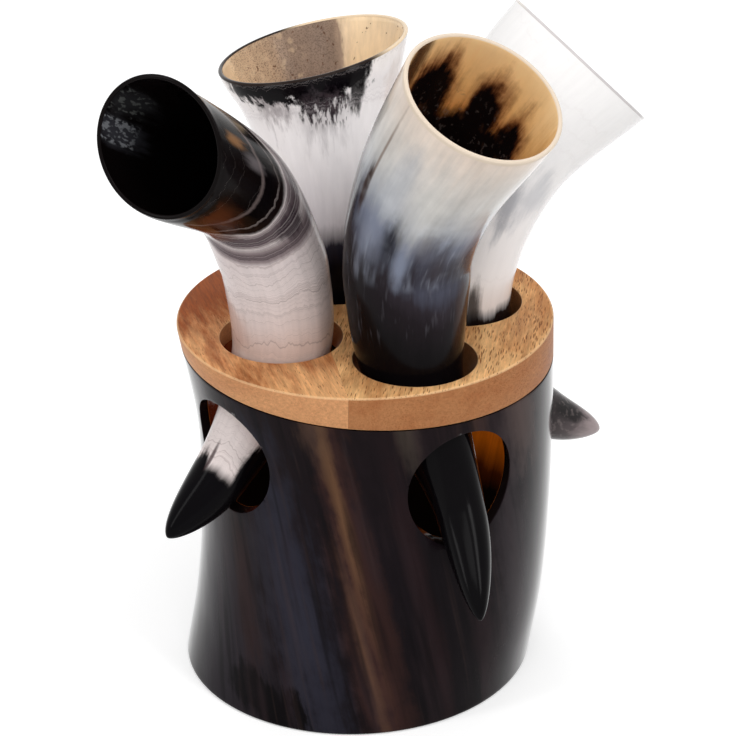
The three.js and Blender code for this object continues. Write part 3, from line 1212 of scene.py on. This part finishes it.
class Marking:
    """A marking on a horn. The inputs of its shared effect are called like the cues and its own fields."""

    EFFECT: ClassVar[type[SharedEffect]]

    def mask(self, board: NodeBoard, cues: Cues) -> Socket:
        """Draws where the marking lies.

        Args:
            board: The material's board.
            cues: What the marking goes by.

        Returns:
            1 on the marking.
        """
        known = vars(cues) | vars(self)
        inputs = {name: known[name.lower()] for name, _ in self.EFFECT.INPUTS}
        return self.EFFECT.use(board, **inputs)["Mask"]


@dataclass(frozen=True)
class StainAndPaintedLight(Marking):
    """A patch of another colour (stains, and also painted reflections and painted shade): its middle and half
    length in mm, its facing and half sweep in degrees.
    """

    EFFECT = StainAndPaintedLightMask
    centre: float
    reach: float
    facing: float
    sweep: float
    colour: Colour
    strength: float = 1.0
    jag: float = 4.0
    softness: float = 0.35


@dataclass(frozen=True)
class Growth(Marking):
    """Growth lines on one stretch of a horn: its ends, their spacing and wander in mm, and their width."""

    EFFECT = GrowthRings
    low: float
    high: float
    spacing: float
    wander: float
    width: float
    colour: Colour
    strength: float
    fade: float = 4.0


@dataclass(frozen=True)
class Speckle(Marking):
    """Specks on one stretch of a horn: its ends in mm, their scales and level, their facing and sweep."""

    EFFECT = Flecks
    low: float
    high: float
    across: float
    lengthwise: float
    level: float
    colour: Colour
    strength: float
    softness: float = 0.12
    fade: float = 6.0
    facing: float = 0.0
    sweep: float = 900.0


@dataclass(frozen=True)
class Skew:
    """How far the colour bands lean: the most in mm, towards which side, and the stretch where it sets in."""

    most: float
    facing: float
    low: float
    high: float


@dataclass(frozen=True)
class HornSkin:
    """The colours of one face of a horn, by the distance from its tip in millimetres."""

    span: float
    stops: tuple[tuple[float, Colour], ...]
    jag: float = 2.0
    jag_across: float = 0.22
    markings: tuple[Marking, ...] = ()
    streaks: float = 0.12
    clouds: float = 0.06
    fray: float = 0.3
    skew: Skew | None = None

    # Fibres: scales across (not for the ragged ones) and along, detail and spread.
    RAGGED = (0.02, 4.0, 3.2)
    FINE = (0.7, 0.03, 5.0, 3.2)
    CLOUD = (0.17, 0.1, 5.0, 3.0)
    FINE_FRAY = 0.6

    def draw(self, board: NodeBoard, spot: Any) -> Socket:
        """Draws the colours.

        Args:
            board: The material's board.
            spot: The outputs of the horn's place.

        Returns:
            The colour.
        """
        place, along, turn = spot["Place"], spot["Along"], spot["Turn"]
        ragged, fine, cloud = (
            Fibre.use(board, Place=place, Across=across, Along=length, Detail=detail, Spread=spread)["Fibre"]
            for across, length, detail, spread in ((self.jag_across, *self.RAGGED), self.FINE, self.CLOUD)
        )
        fray = board.times(board.line(fine, self.FINE_FRAY, cloud), self.fray)
        banded = board.line(ragged, self.jag, along)
        if self.skew is not None:
            sets_in = board.step(along, self.skew.low, self.skew.high)
            lean = board.times(board.towards(turn, self.skew.facing), sets_in)
            banded = board.line(lean, self.skew.most, banded)
        stops = [(distance / self.span, colour) for distance, colour in self.stops]
        colour = board.ramp(board.math("DIVIDE", banded, self.span), stops)
        cues = Cues(place, along, turn, banded, ragged, fray)
        for marking in self.markings:
            share = board.times(marking.mask(board, cues), marking.strength)
            colour = board.tint(share, colour, marking.colour)
        shade = board.line(fine, self.streaks, board.line(cloud, self.clouds, 1.0))
        return board.blend(1.0, colour, board.math("MAXIMUM", shade, 0.0), "MULTIPLY")


@dataclass(frozen=True)
class HornFinish:
    """Polished horn: its two faces, its cut edge, its gloss and the painted glow of its inner face."""

    slot: Slot
    outer: HornSkin
    inner: HornSkin
    rim: Colour
    roughness: float = 0.16
    spread: float = 0.14
    specular: float = 0.3
    edge_gloss: float = 0.6
    bump: float = 0.12
    # Painted glow: strength of light that the inner face gives off in its own colours, standing in for light
    # that comes through the horn.
    glow: float = 0.0
    far_rim: Colour | None = None
    far_facing: float = 0.0

    # Where the cut edge, the inner wall, the far rim and the glancing gloss set in.
    RIM_FROM = (0.04, 0.16)
    INNER_FROM = (0.97, 1.0)
    FAR_FROM = (0.1, 0.45)
    GLANCE_BLEND = 0.3
    GLANCE_FROM = (0.25, 0.9)
    COAT_ROUGHNESS = 0.12

    def dress(self, piece: bpy.types.Object) -> None:
        """Gives a piece this finish.

        Args:
            piece: A mesh with place and inside values.
        """
        board = MaterialBoard(self.slot.value)
        spot = HornPlace.use(board)
        edge = board.step(spot["Inside"], *self.RIM_FROM)
        within = board.step(spot["Inside"], *self.INNER_FROM)
        colour = board.tint(edge, self.outer.draw(board, spot), self.rim)
        if self.far_rim is not None:
            far = board.step(board.towards(spot["Turn"], self.far_facing), *self.FAR_FROM)
            colour = board.tint(board.times(edge, far), colour, self.far_rim)
        inner = self.inner.draw(board, spot)
        polish = Polish.use(board, Place=spot["Place"], Roughness=self.roughness, Spread=self.spread)
        normal = board.bump(self.bump, MM, polish["Height"])
        weight = board.add("ShaderNodeLayerWeight", {"Blend": self.GLANCE_BLEND, "Normal": normal})
        glance = board.step(weight.outputs["Facing"], *self.GLANCE_FROM)
        board.shade({
            "Base Color": board.blend(within, colour, inner), "Roughness": polish["Roughness"],
            "Normal": normal, "Specular IOR Level": self.specular,
            "Coat Weight": board.times(glance, self.edge_gloss), "Coat Roughness": self.COAT_ROUGHNESS,
        })
        # Painted glow: the inner face shines in its own colours, standing in for light that comes through the
        # horn.
        if self.glow > 0.0:
            board.shade({"Emission Color": board.blend(within, BLACK, inner), "Emission Strength": self.glow})
        board.cover(piece)


@dataclass(frozen=True)
class WoodFinish:
    """Sanded and oiled wood."""

    slot: Slot
    pale: Colour
    deep: Colour
    pore: Colour
    pore_level: float
    side: Colour
    drift: tuple[float, float]
    grain_turn: float
    offset: tuple[float, float, float]
    # Colour of the painted highlight along the rounded top edge, as where the edge catches the light.
    painted_edge_highlight: Colour = 0xF4CC9C
    roughness: float = 0.34
    specular: float = 0.06

    DRIFT_SHARE = 0.5
    FIGURE_FROM = (0.3, 0.7)
    SIDE_SHARE = 0.85
    CONTRAST = (-0.6, 1.7)
    PAINTED_HIGHLIGHT_SHARE = 0.45
    OPEN_GRAIN = (-0.4, 0.85)
    ROUGH_SPREAD = 0.16
    RELIEF = (0.15, 0.0003)

    def dress(self, piece: bpy.types.Object) -> None:
        """Gives a piece this finish.

        Args:
            piece: A mesh in the stand's own place.
        """
        board = MaterialBoard(self.slot.value)
        place = board.add("ShaderNodeTexCoord").outputs["Object"]
        turned = board.add("ShaderNodeMapping", {
            "Vector": place, "Location": self.offset, "Scale": (1.0 / MM,) * 3,
            "Rotation": (0.0, 0.0, math.radians(-self.grain_turn)),
        }).outputs[0]
        grain = WoodGrain.use(board, Place=turned, Level=self.pore_level)
        side = grain["Side"]
        slope = (self.drift[0] / MM, self.drift[1] / MM, 0.0)
        drift = board.vector("DOT_PRODUCT", place, slope, output="Value")
        figure = board.step(board.line(drift, self.DRIFT_SHARE, grain["Figure"]), *self.FIGURE_FROM)
        colour = board.blend(figure, paint(self.deep), paint(self.pale))
        colour = board.tint(board.times(side, self.SIDE_SHARE), colour, self.side)
        contrast = board.line(side, *self.CONTRAST)
        shade = board.line(board.less(grain["Fibre"], MIDDLE), contrast, 1.0)
        colour = board.blend(1.0, colour, shade, "MULTIPLY")
        # Painted highlight: the rounded top edge is lightened, as where it catches the light.
        colour = board.tint(board.times(grain["Edge"], self.PAINTED_HIGHLIGHT_SHARE), colour, self.painted_edge_highlight)
        open_pores = board.times(grain["Pores"], board.line(side, *self.OPEN_GRAIN))
        board.shade({
            "Base Color": board.tint(open_pores, colour, self.pore),
            "Roughness": board.line(grain["Fibre"], self.ROUGH_SPREAD, self.roughness),
            "Normal": board.bump(*self.RELIEF, grain["Height"]), "Specular IOR Level": self.specular,
        })
        board.cover(piece)


SOOT = 0x100B0C
IVORY = 0xE2D6D3

LEFT_FINISH = HornFinish(
    slot=Slot.BANDED_HORN, rim=0x0F0B0B, specular=0.04,
    outer=HornSkin(
        span=166.0, jag=1.2, skew=Skew(24.0, 88.0, 85.0, 112.0), streaks=0.1,
        stops=(
            (0, 0x060507), (20, 0x070508), (23, IVORY), (44, IVORY), (58, 0xD2BCB2), (70, 0xDACBC7),
            (85, 0xE2D6D4), (96, 0xDED2D1), (99, 0x8C7E80), (104, 0x64565A), (108, 0x96898A),
            (112, 0xD4CAC8), (114, 0x685B5E), (120, 0x4C4044), (126, 0x786A6D), (128.5, 0xD8CECC),
            (130.5, 0x160D0C), (138, 0x090607), (142, 0x080506), (143.5, 0x685C5A), (144.5, 0x0C0808),
            (154, 0x100A09), (166, 0x0A0707),
        ),
        markings=(
            StainAndPaintedLight(100, 4, 92, 20, 0x32262D, 0.9, 2.0), StainAndPaintedLight(130, 8, 42, 15, 0x5A2A12, 0.65, 6.0, 0.8),
            StainAndPaintedLight(122, 7, 28, 12, 0x3C1C0F, 0.75, 5.0, 0.7), StainAndPaintedLight(131, 4, 118, 5, 0x92663C, 0.7, 4.0, 0.6),
            StainAndPaintedLight(124, 4, 108, 6, 0x7E7678, 0.55, 4.0, 0.7), StainAndPaintedLight(66, 9, -20, 24, 0xBEA094, 0.6),
            StainAndPaintedLight(140, 5, 0, 900, 0x0E0909, 1.0, 1.0, 0.3), Growth(56, 99, 4.2, 9.0, 0.012, 0x8C7876, 0.42),
            Growth(56, 99, 1.3, 6.0, 0.018, 0xA89896, 0.42),
            Growth(97, 131, 2.2, 3.0, 0.04, 0x2E2429, 0.75, 2.0),
            Growth(97, 131, 5.0, 4.0, 0.012, 0xC4BAB8, 0.5, 2.0),
            Growth(132, 166, 9.0, 5.0, 0.006, 0xAA9E9A, 0.35, 3.0),
            Growth(21, 50, 2.6, 6.0, 0.016, 0xA08C8A, 0.45, 2.0),
            StainAndPaintedLight(21, 5, -16, 26, 0x080608, 1.0, 4.0, 0.3), StainAndPaintedLight(26, 4, 6, 4, 0x423032, 0.85, 3.0, 0.5),
            # Black patch towards 112 degrees: over the tip it repeats the tip's own black, and above it, up
            # into the wall hole, it is painted shade inside the hole.
            StainAndPaintedLight(26, 18, 112, 46, 0x090709, 1.0, 3.0, 0.2),
        ),
    ),
    inner=HornSkin(
        span=140.0, fray=0.8,
        stops=(
            (60, 0x060404), (120, 0x060404), (140, 0x080505),
        ),
        markings=(
            # Grey patches and specks near the mouth: painted reflections on the black inner face.
            StainAndPaintedLight(134, 6, -97, 11, 0x3E3E44, 0.6, 4.0, 0.95),
            StainAndPaintedLight(134, 6, -128, 13, 0x2C2C2E, 0.6, 4.0, 0.95),
            Speckle(128, 142, 0.9, 0.6, 0.48, 0x808286, 0.65, 0.14, 3.0, -97, 13),
            Speckle(129, 142, 0.9, 0.6, 0.52, 0x5C5E5C, 0.5, 0.14, 3.0, -128, 16),
        ),
    ),
)

# The front horn's glow is a painted glow of its inner face, standing in for light that comes through the
# horn.
FRONT_FINISH = HornFinish(
    slot=Slot.SLATE_HORN, rim=0xE8D7C3, specular=0.05, glow=0.12,
    outer=HornSkin(
        span=158.0, jag=4.0, skew=Skew(18.0, 0.0, 110.0, 90.0), streaks=0.1, clouds=0.15, fray=0.35,
        stops=(
            (0, 0x070608), (60, 0x090709), (86, 0x0A0709), (91, 0x0F0C0E), (101, 0x1C161A), (106, 0x2A242A),
            (111, 0x464754), (117, 0x6E7383), (125, 0xB0B3B9), (135, 0xD2D0CD), (146, 0xDED6CE),
            (158, 0xEEDDCE),
        ),
        markings=(
            StainAndPaintedLight(114, 9, -57, 8, 0x1C1B24, 0.95, 4.0, 0.6), StainAndPaintedLight(119, 6, -28, 9, 0x544E52, 0.6, 4.0, 0.9),
            StainAndPaintedLight(110, 9, -12, 7, 0x423C42, 0.6, 5.0, 0.9), StainAndPaintedLight(108, 8, -43, 6, 0x9EA8BE, 0.6, 5.0, 0.9),
            StainAndPaintedLight(111, 8, -76, 12, 0x929AAE, 0.6, 5.0, 0.9),
            StainAndPaintedLight(112, 12, -118, 18, 0x282025, 0.9, 7.0, 0.5),
            StainAndPaintedLight(137, 15, -95, 1.3, 0x785C4C, 0.7, 1.0, 0.8),
            StainAndPaintedLight(122, 7, -97, 4, 0x362016, 0.95, 4.0, 0.5),
            # Brown patch at 84 mm and 27 degrees: a painted reflection of the wooden lid.
            StainAndPaintedLight(84, 10, 27, 10, 0x422618, 0.45, 4.0, 0.6),
            StainAndPaintedLight(133, 13, -40, 12, 0xD8D6D0, 0.5, 6.0, 0.8),
            StainAndPaintedLight(134, 12, -70, 10, 0xBABEC6, 0.5, 6.0, 0.8),
            StainAndPaintedLight(107, 14, 100, 50, 0x423E46, 0.7, 8.0, 0.5),
            StainAndPaintedLight(104, 16, 190, 40, 0x342E32, 0.7, 8.0, 0.5),
            # Pale grey flecks from 76 to 104 mm: painted highlights, small glints off the polish.
            Speckle(76, 104, 0.9, 0.1, 0.56, 0x706E76, 0.2, 0.22),
            Speckle(94, 126, 0.3, 0.06, 0.5, 0xACB4C6, 0.35, 0.3),
            Speckle(94, 122, 1.1, 0.06, 0.55, 0xBAC1CF, 0.16, 0.25),
            Speckle(114, 132, 0.16, 0.12, 0.5, 0xDEE0E2, 0.35, 0.35),
            Speckle(100, 150, 0.13, 0.1, 0.5, 0x969AA4, 0.2, 0.3),
        ),
    ),
    inner=HornSkin(
        span=158.0, jag=4.0, jag_across=0.13, streaks=0.05, clouds=0.1, fray=0.32,
        stops=(
            (60, SOOT), (118, 0x120C0B), (128, 0x602E14), (134, 0xD69A58), (144, 0xEEC486), (158, 0xF4D4A2),
        ),
        markings=(
            StainAndPaintedLight(124, 34, 40, 26, 0xE4B06E, 0.9, 6.0, 0.5),
            StainAndPaintedLight(137, 14, 120, 16, 0x703214, 0.9, 3.0, 0.4), StainAndPaintedLight(134, 13, 120, 14, SOOT, 1.0, 3.0, 0.25),
            StainAndPaintedLight(131, 15, 84, 18, 0x703214, 0.9, 3.0, 0.4), StainAndPaintedLight(128, 14, 84, 16, SOOT, 1.0, 3.0, 0.25),
            StainAndPaintedLight(138, 14, 172, 22, 0x703214, 0.9, 4.0, 0.4), StainAndPaintedLight(134, 14, 172, 20, SOOT, 1.0, 4.0, 0.25),
            StainAndPaintedLight(150, 16, -158, 12, 0x3C1E10, 0.95, 5.0, 0.4),
            StainAndPaintedLight(122, 12, 118, 62, SOOT, 1.0, 4.0, 0.3),
            Speckle(112, 140, 0.3, 0.14, 0.58, 0x785238, 0.25, 0.2),
            Speckle(112, 142, 0.7, 0.5, 0.6, 0x605A5A, 0.35, 0.1),
        ),
    ),
)

BACK_FINISH = HornFinish(
    slot=Slot.STREAKED_HORN, rim=0x281E1A, far_rim=0xECD4B4, far_facing=-80.0, specular=0.08,
    outer=HornSkin(
        span=126.0, jag=1.5, jag_across=0.6, streaks=0.05, fray=0.3,
        stops=(
            (0, 0x0A080A), (72, 0x0E0B0F), (78, 0x2C2A34), (84, 0xDEDADE), (100, 0xFAF6F6), (118, 0xF8F3F2),
            (126, 0xF0E9E4),
        ),
        markings=(
            StainAndPaintedLight(117, 9, 128, 14, 0x685A5E, 0.6, 9.0, 0.5),
            StainAndPaintedLight(127, 13, 150, 54, 0x090608, 1.0, 6.5, 0.14),
            StainAndPaintedLight(119, 10, 162, 21, 0x080508, 1.0, 8.0, 0.2),
            StainAndPaintedLight(117, 9, 189, 6, 0x0C080A, 0.95, 5.0, 0.3),
            StainAndPaintedLight(110, 8, 162, 18, 0x60545A, 0.3, 8.0, 0.5), StainAndPaintedLight(112, 10, 228, 14, 0xD6C4B8, 0.4),
            StainAndPaintedLight(122, 9, 40, 40, 0x463836, 0.8, 8.0), StainAndPaintedLight(112, 14, -40, 30, 0xCEBCAE, 0.6, 8.0),
            Growth(107, 117, 1.5, 0.9, 0.03, 0xC4BCBE, 0.25),
            Growth(123.5, 126, 1.2, 0.6, 0.02, 0x968C8A, 0.5, 0.5),
            Speckle(104, 119, 1.3, 0.012, 0.53, 0x40363A, 0.8, 0.05, 4.0, 166, 17),
        ),
    ),
    inner=HornSkin(
        span=126.0, fray=0.12, clouds=0.14,
        stops=(
            (60, 0x6E5848), (95, 0xBE9E7A), (112, 0xEECCA0), (126, 0xFADEB8),
        ),
        markings=(
            StainAndPaintedLight(116, 30, 8, 46, 0xB2957A, 0.95, 2.0, 0.04),
            StainAndPaintedLight(114, 30, -15, 24, 0x7A685E, 0.8, 2.0, 0.5),
            StainAndPaintedLight(116, 20, 62, 26, 0xD4B490, 0.8, 4.0, 0.7),
            Speckle(80, 132, 2.2, 4.0, 0.46, 0x524238, 0.55, 0.2, 6.0, 10, 48),
            Speckle(80, 132, 0.45, 0.7, 0.5, 0xC4AA8C, 0.45, 0.2, 6.0, 34, 50),
            Speckle(80, 132, 0.6, 0.6, 0.69, 0x5C3C2A, 0.8, 0.03),
        ),
    ),
)

RIGHT_FINISH = HornFinish(
    slot=Slot.WHITE_HORN, rim=0xE6DED5, far_rim=0xD0CACA, far_facing=-110.0, specular=0.2, roughness=0.2,
    outer=HornSkin(
        span=138.0, jag=3.0, streaks=0.03, clouds=0.02, fray=0.5,
        stops=(
            (0, 0xA89A99), (5, 0x968888), (10, 0x544A4B), (18, 0x2C2526), (58, 0x140F0F), (63, 0x221816),
            (67, 0xF6F0EE), (74, 0xFCF8F7), (95, 0xFAF6F5), (110, 0xFBF9F8), (138, 0xFDFBFA),
        ),
        markings=(
            StainAndPaintedLight(96, 7, -96, 8, 0x8C8E96, 0.7, 6.0, 0.7), StainAndPaintedLight(99, 6, -76, 14, 0xC4C5CA, 0.6, 6.0, 0.8),
            StainAndPaintedLight(65, 8, -108, 14, 0x181111, 0.9, 6.0, 0.5), StainAndPaintedLight(13, 6, -45, 26, 0x120E0F, 0.9),
            StainAndPaintedLight(90, 16, 60, 30, 0xD6CAC2, 0.5, 8.0, 0.7), StainAndPaintedLight(84, 10, 170, 24, 0xA09A9C, 0.6, 8.0, 0.7),
            Growth(70, 138, 5.0, 5.0, 0.012, 0xE8E2E0, 0.14),
            Speckle(-4, 22, 0.8, 0.6, 0.5, 0x968886, 0.25, 0.2),
        ),
    ),
    inner=HornSkin(
        span=138.0, jag=5.0,
        stops=(
            (60, 0x786250), (95, 0xD6C0A6), (120, 0xEAD9C4), (138, 0xF4EADC),
        ),
        markings=(
            StainAndPaintedLight(112, 18, 150, 26, 0xA07A58, 0.6, 8.0, 0.6),
            Speckle(80, 140, 0.8, 0.6, 0.64, 0x967254, 0.5),
        ),
    ),
)

# The shell's glow is a painted glow: its inner face gives off light in its inner colours, standing in for
# light that comes through the horn.
SHELL_FINISH = HornFinish(
    slot=Slot.DARK_HORN, rim=0x140E0E, specular=0.04, edge_gloss=1.0, roughness=0.14, glow=0.18,
    outer=HornSkin(
        span=100.0, jag=0.0, jag_across=0.14, streaks=0.28, clouds=0.24, fray=0.85,
        stops=(
            (0, 0x100B0E), (50, 0x140E12), (80, 0x160F12), (100, 0x1A1214),
        ),
        markings=(
            StainAndPaintedLight(36, 42, -101, 9, 0x2E2E3A, 0.75, 10.0, 0.8),
            StainAndPaintedLight(25, 46, -135, 24, 0x2C272D, 0.7, 8.0, 0.8),
            StainAndPaintedLight(56, 46, -76.2, 4.6, 0x422924, 0.7, 6.0, 0.9),
            StainAndPaintedLight(64, 34, -77, 1.8, 0x74543A, 0.55, 6.0, 0.9),
            StainAndPaintedLight(14, 34, -80.6, 4.8, 0x422A26, 0.7, 6.0, 0.9),
            StainAndPaintedLight(18, 26, -81, 1.6, 0x6E503C, 0.45, 6.0, 0.9),
            StainAndPaintedLight(90, 9, -79.5, 4, 0x584234, 0.6, 4.0, 0.8), StainAndPaintedLight(92, 12, -51, 3, 0x4E443C, 0.5, 4.0, 0.8),
            StainAndPaintedLight(92, 10, -28, 3, 0x4C3428, 0.5, 4.0, 0.8), StainAndPaintedLight(88, 18, -10, 7, 0x604E4A, 0.5, 4.0, 0.8),
            StainAndPaintedLight(92, 12, -126, 3, 0x50484C, 0.4, 4.0, 0.8),
            StainAndPaintedLight(42, 30, -122, 4, 0x2E1C19, 0.6, 6.0, 0.7), StainAndPaintedLight(40, 44, -72, 3, 0x301E1C, 0.6, 6.0, 0.7),
            StainAndPaintedLight(40, 44, -58, 3, 0x2A1A1C, 0.5, 6.0, 0.7), StainAndPaintedLight(30, 44, -40, 4, 0x281B1E, 0.5, 6.0, 0.7),
            # The grey patch at 24 mm and -22 degrees is a painted reflection, a sheen of the pale
            # surroundings on the polish; the black patch beside it is the horn's own colour.
            StainAndPaintedLight(24, 50, -22, 8, 0x3E363A, 0.5, 6.0, 0.8), StainAndPaintedLight(4, 9, -116, 9, 0x070406, 1.0, 2.0, 0.35),
            StainAndPaintedLight(8, 7, -124, 9, 0x080507, 0.9, 2.0, 0.4), StainAndPaintedLight(50, 60, 40, 5, 0x583E30, 0.7, 8.0, 0.8),
            StainAndPaintedLight(40, 50, 82, 12, 0x2E2C38, 0.7, 8.0, 0.8), StainAndPaintedLight(60, 60, 128, 4, 0x644A36, 0.7, 8.0, 0.8),
            StainAndPaintedLight(30, 50, 160, 14, 0x2A242A, 0.7, 8.0, 0.8),
            Speckle(-10, 110, 0.16, 0.02, 0.5, 0x2E2225, 0.5, 0.25),
            Speckle(-10, 110, 0.5, 0.014, 0.57, 0x3A2C29, 0.25, 0.18),
            Speckle(-10, 110, 0.3, 0.02, 0.54, 0x090608, 0.6, 0.2),
        ),
    ),
    # Inner colours, painted light and shade inside the stand: near black low down as painted shade, amber
    # higher up as painted light that comes through the horn, dimmed to dark red towards -172 degrees and to
    # black towards 138 degrees as painted shade.
    inner=HornSkin(
        span=100.0, streaks=0.25,
        stops=(
            (0, 0x080504), (30, 0x0C0705), (36, 0x4C2008), (45, 0xC86810), (70, 0xE07E28), (100, 0xF0963C),
        ),
        markings=(
            StainAndPaintedLight(66, 44, -172, 30, 0x682216, 0.95, 2.0, 0.5),
            StainAndPaintedLight(44, 40, 138, 32, 0x080504, 1.0, 2.0, 0.3),
        ),
    ),
)

TAN_WOOD = WoodFinish(
    slot=Slot.TAN_WOOD, pale=0xE2AA74, deep=0x964C1E, pore=0x763E1C, pore_level=0.2, side=0xC89064,
    drift=(0.0065, -0.0065), grain_turn=16.0, offset=(13.0, 40.0, 7.0),
)

GOLDEN_WOOD = WoodFinish(
    slot=Slot.GOLDEN_WOOD, pale=0xECBA80, deep=0xB67A48, pore=0x764018, pore_level=0.34, side=0x9C623D,
    drift=(0.0, -0.003), grain_turn=-8.0, offset=(-31.0, 5.0, 19.0),
)

FOOT_WOOD = WoodFinish(
    slot=Slot.FOOT_WOOD, pale=0xBA885A, deep=0x94623C, pore=0x54321E, pore_level=0.2, side=0xA06E46,
    drift=(0.0, 0.0), grain_turn=60.0, offset=(7.0, -22.0, 3.0),
)

HORN_FINISHES = {
    "horn_left": LEFT_FINISH, "horn_front": FRONT_FINISH,
    "horn_back": BACK_FINISH, "horn_right": RIGHT_FINISH,
}


@dataclass(frozen=True)
class Lamp:
    """A soft lamp that points at the object: its place and size in metres, its power in watts."""

    name: str
    place: tuple[float, float, float]
    size: tuple[float, float]
    power: float

    AIM = Vector((0.0, 0.0, 0.09))

    def build(self) -> None:
        """Hangs the lamp."""
        light = bpy.data.lights.new(self.name, "AREA")
        light.shape = "RECTANGLE"
        light.size, light.size_y = self.size
        light.energy = self.power
        holder = add_object(self.name, light)
        holder.location = self.place
        holder.rotation_euler = (self.AIM - holder.location).to_track_quat("-Z", "Y").to_euler()


LAMPS = (
    Lamp("key", (0.75, -0.7, 1.0), (0.3, 0.9), 6.0),
    Lamp("fill", (-0.95, -0.5, 0.6), (0.2, 0.9), 3.0),
    Lamp("front", (-0.1, -1.2, 1.3), (1.2, 0.6), 6.0),
    Lamp("back", (0.0, 0.7, 1.3), (1.0, 0.6), 4.0),
)


@dataclass
class Studio:
    """The pale floor, the surround, the lamps and the camera; lengths in metres."""

    camera_place: tuple[float, float, float] = (0.0027, -0.6237, 0.40157)
    camera_pitch: float = 63.0
    camera_lens: float = 130.66
    camera_sensor: float = 36.0
    camera_clip: float = 0.01
    floor_size: float = 6.0
    floor_drop: float = 0.0002
    floor_near: float = 0.4
    floor_far: float = 1.0
    floor_tone: float = 0.86
    floor_roughness: float = 0.9
    floor_glow: float = 0.35
    surround: float = 0.5

    def build(self) -> None:
        """Makes the camera, the floor, the world and the lamps."""
        scene = bpy.context.scene
        scene.view_settings.view_transform = "Standard"
        camera = bpy.data.cameras.new("camera")
        camera.lens = self.camera_lens
        camera.sensor_width = self.camera_sensor
        camera.clip_start = self.camera_clip
        scene.camera = add_object("camera", camera)
        scene.camera.location = self.camera_place
        scene.camera.rotation_euler = (math.radians(self.camera_pitch), 0.0, 0.0)
        self.floor()
        self.world()
        for lamp in LAMPS:
            lamp.build()

    def seen(self, board: NodeBoard) -> Socket:
        """1 for a ray that shows the surface itself: to the camera, in a reflection or through glass."""
        rays = board.add("ShaderNodeLightPath").outputs
        shown = board.math("MAXIMUM", rays["Is Camera Ray"], rays["Is Glossy Ray"])
        return board.math("MAXIMUM", shown, rays["Is Transmission Ray"])

    def floor(self) -> None:
        """A wide pale floor that shows white, keeps the object's shadow and runs out into the surround."""
        mesh = bpy.data.meshes.new("floor")
        half = self.floor_size / 2
        corners = [(-half, -half, 0), (half, -half, 0), (half, half, 0), (-half, half, 0)]
        mesh.from_pydata(corners, [], [(0, 1, 2, 3)])
        floor = add_object("floor", mesh)
        floor.location.z = -self.floor_drop
        board = MaterialBoard("floor")
        spot = board.add("ShaderNodeNewGeometry").outputs["Position"]
        far = board.step(board.vector("LENGTH", spot, output="Value"), self.floor_near, self.floor_far)
        glow = board.line(far, 1.0 - self.floor_glow, self.floor_glow)
        board.shade({
            "Base Color": board.blend(far, (self.floor_tone,) * 3 + (1.0,), BLACK),
            "Roughness": self.floor_roughness, "Specular IOR Level": 0.0, "Emission Color": WHITE,
            "Emission Strength": board.times(self.seen(board), glow),
        })
        board.cover(floor)

    def world(self) -> None:
        """A surround that shows white and lights the object softly."""
        world = bpy.data.worlds.new("studio")
        bpy.context.scene.world = world
        world.use_nodes = True
        board = NodeBoard(world.node_tree)
        background = world.node_tree.nodes["Background"].inputs
        board.feed(background["Color"], WHITE)
        board.feed(background["Strength"], board.line(self.seen(board), 1.0 - self.surround, self.surround))


def main() -> None:
    """Builds the set, dresses it and lights it."""
    logging.basicConfig(level=logging.INFO, format="%(name)s: %(message)s")
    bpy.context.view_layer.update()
    form = StandForm()
    Studio().build()
    for horn in HORNS:
        horn.lay_out(form)
        piece = horn.build()
        HORN_FINISHES[horn.node].dress(piece)
        LOG.info("%s: %d faces, %.1f mm long", piece.name, len(piece.data.polygons), horn.path.length)
    stand = Stand(form, HORNS)
    for piece, finish in (
        (stand.build_shell(), SHELL_FINISH), (stand.build_disc(), FOOT_WOOD),
        (stand.build_plank(Plank.LEFT), TAN_WOOD), (stand.build_plank(Plank.RIGHT), GOLDEN_WOOD),
    ):
        finish.dress(piece)
        LOG.info("%s: %d faces", piece.name, len(piece.data.polygons))


if __name__ == "__main__":
    main()
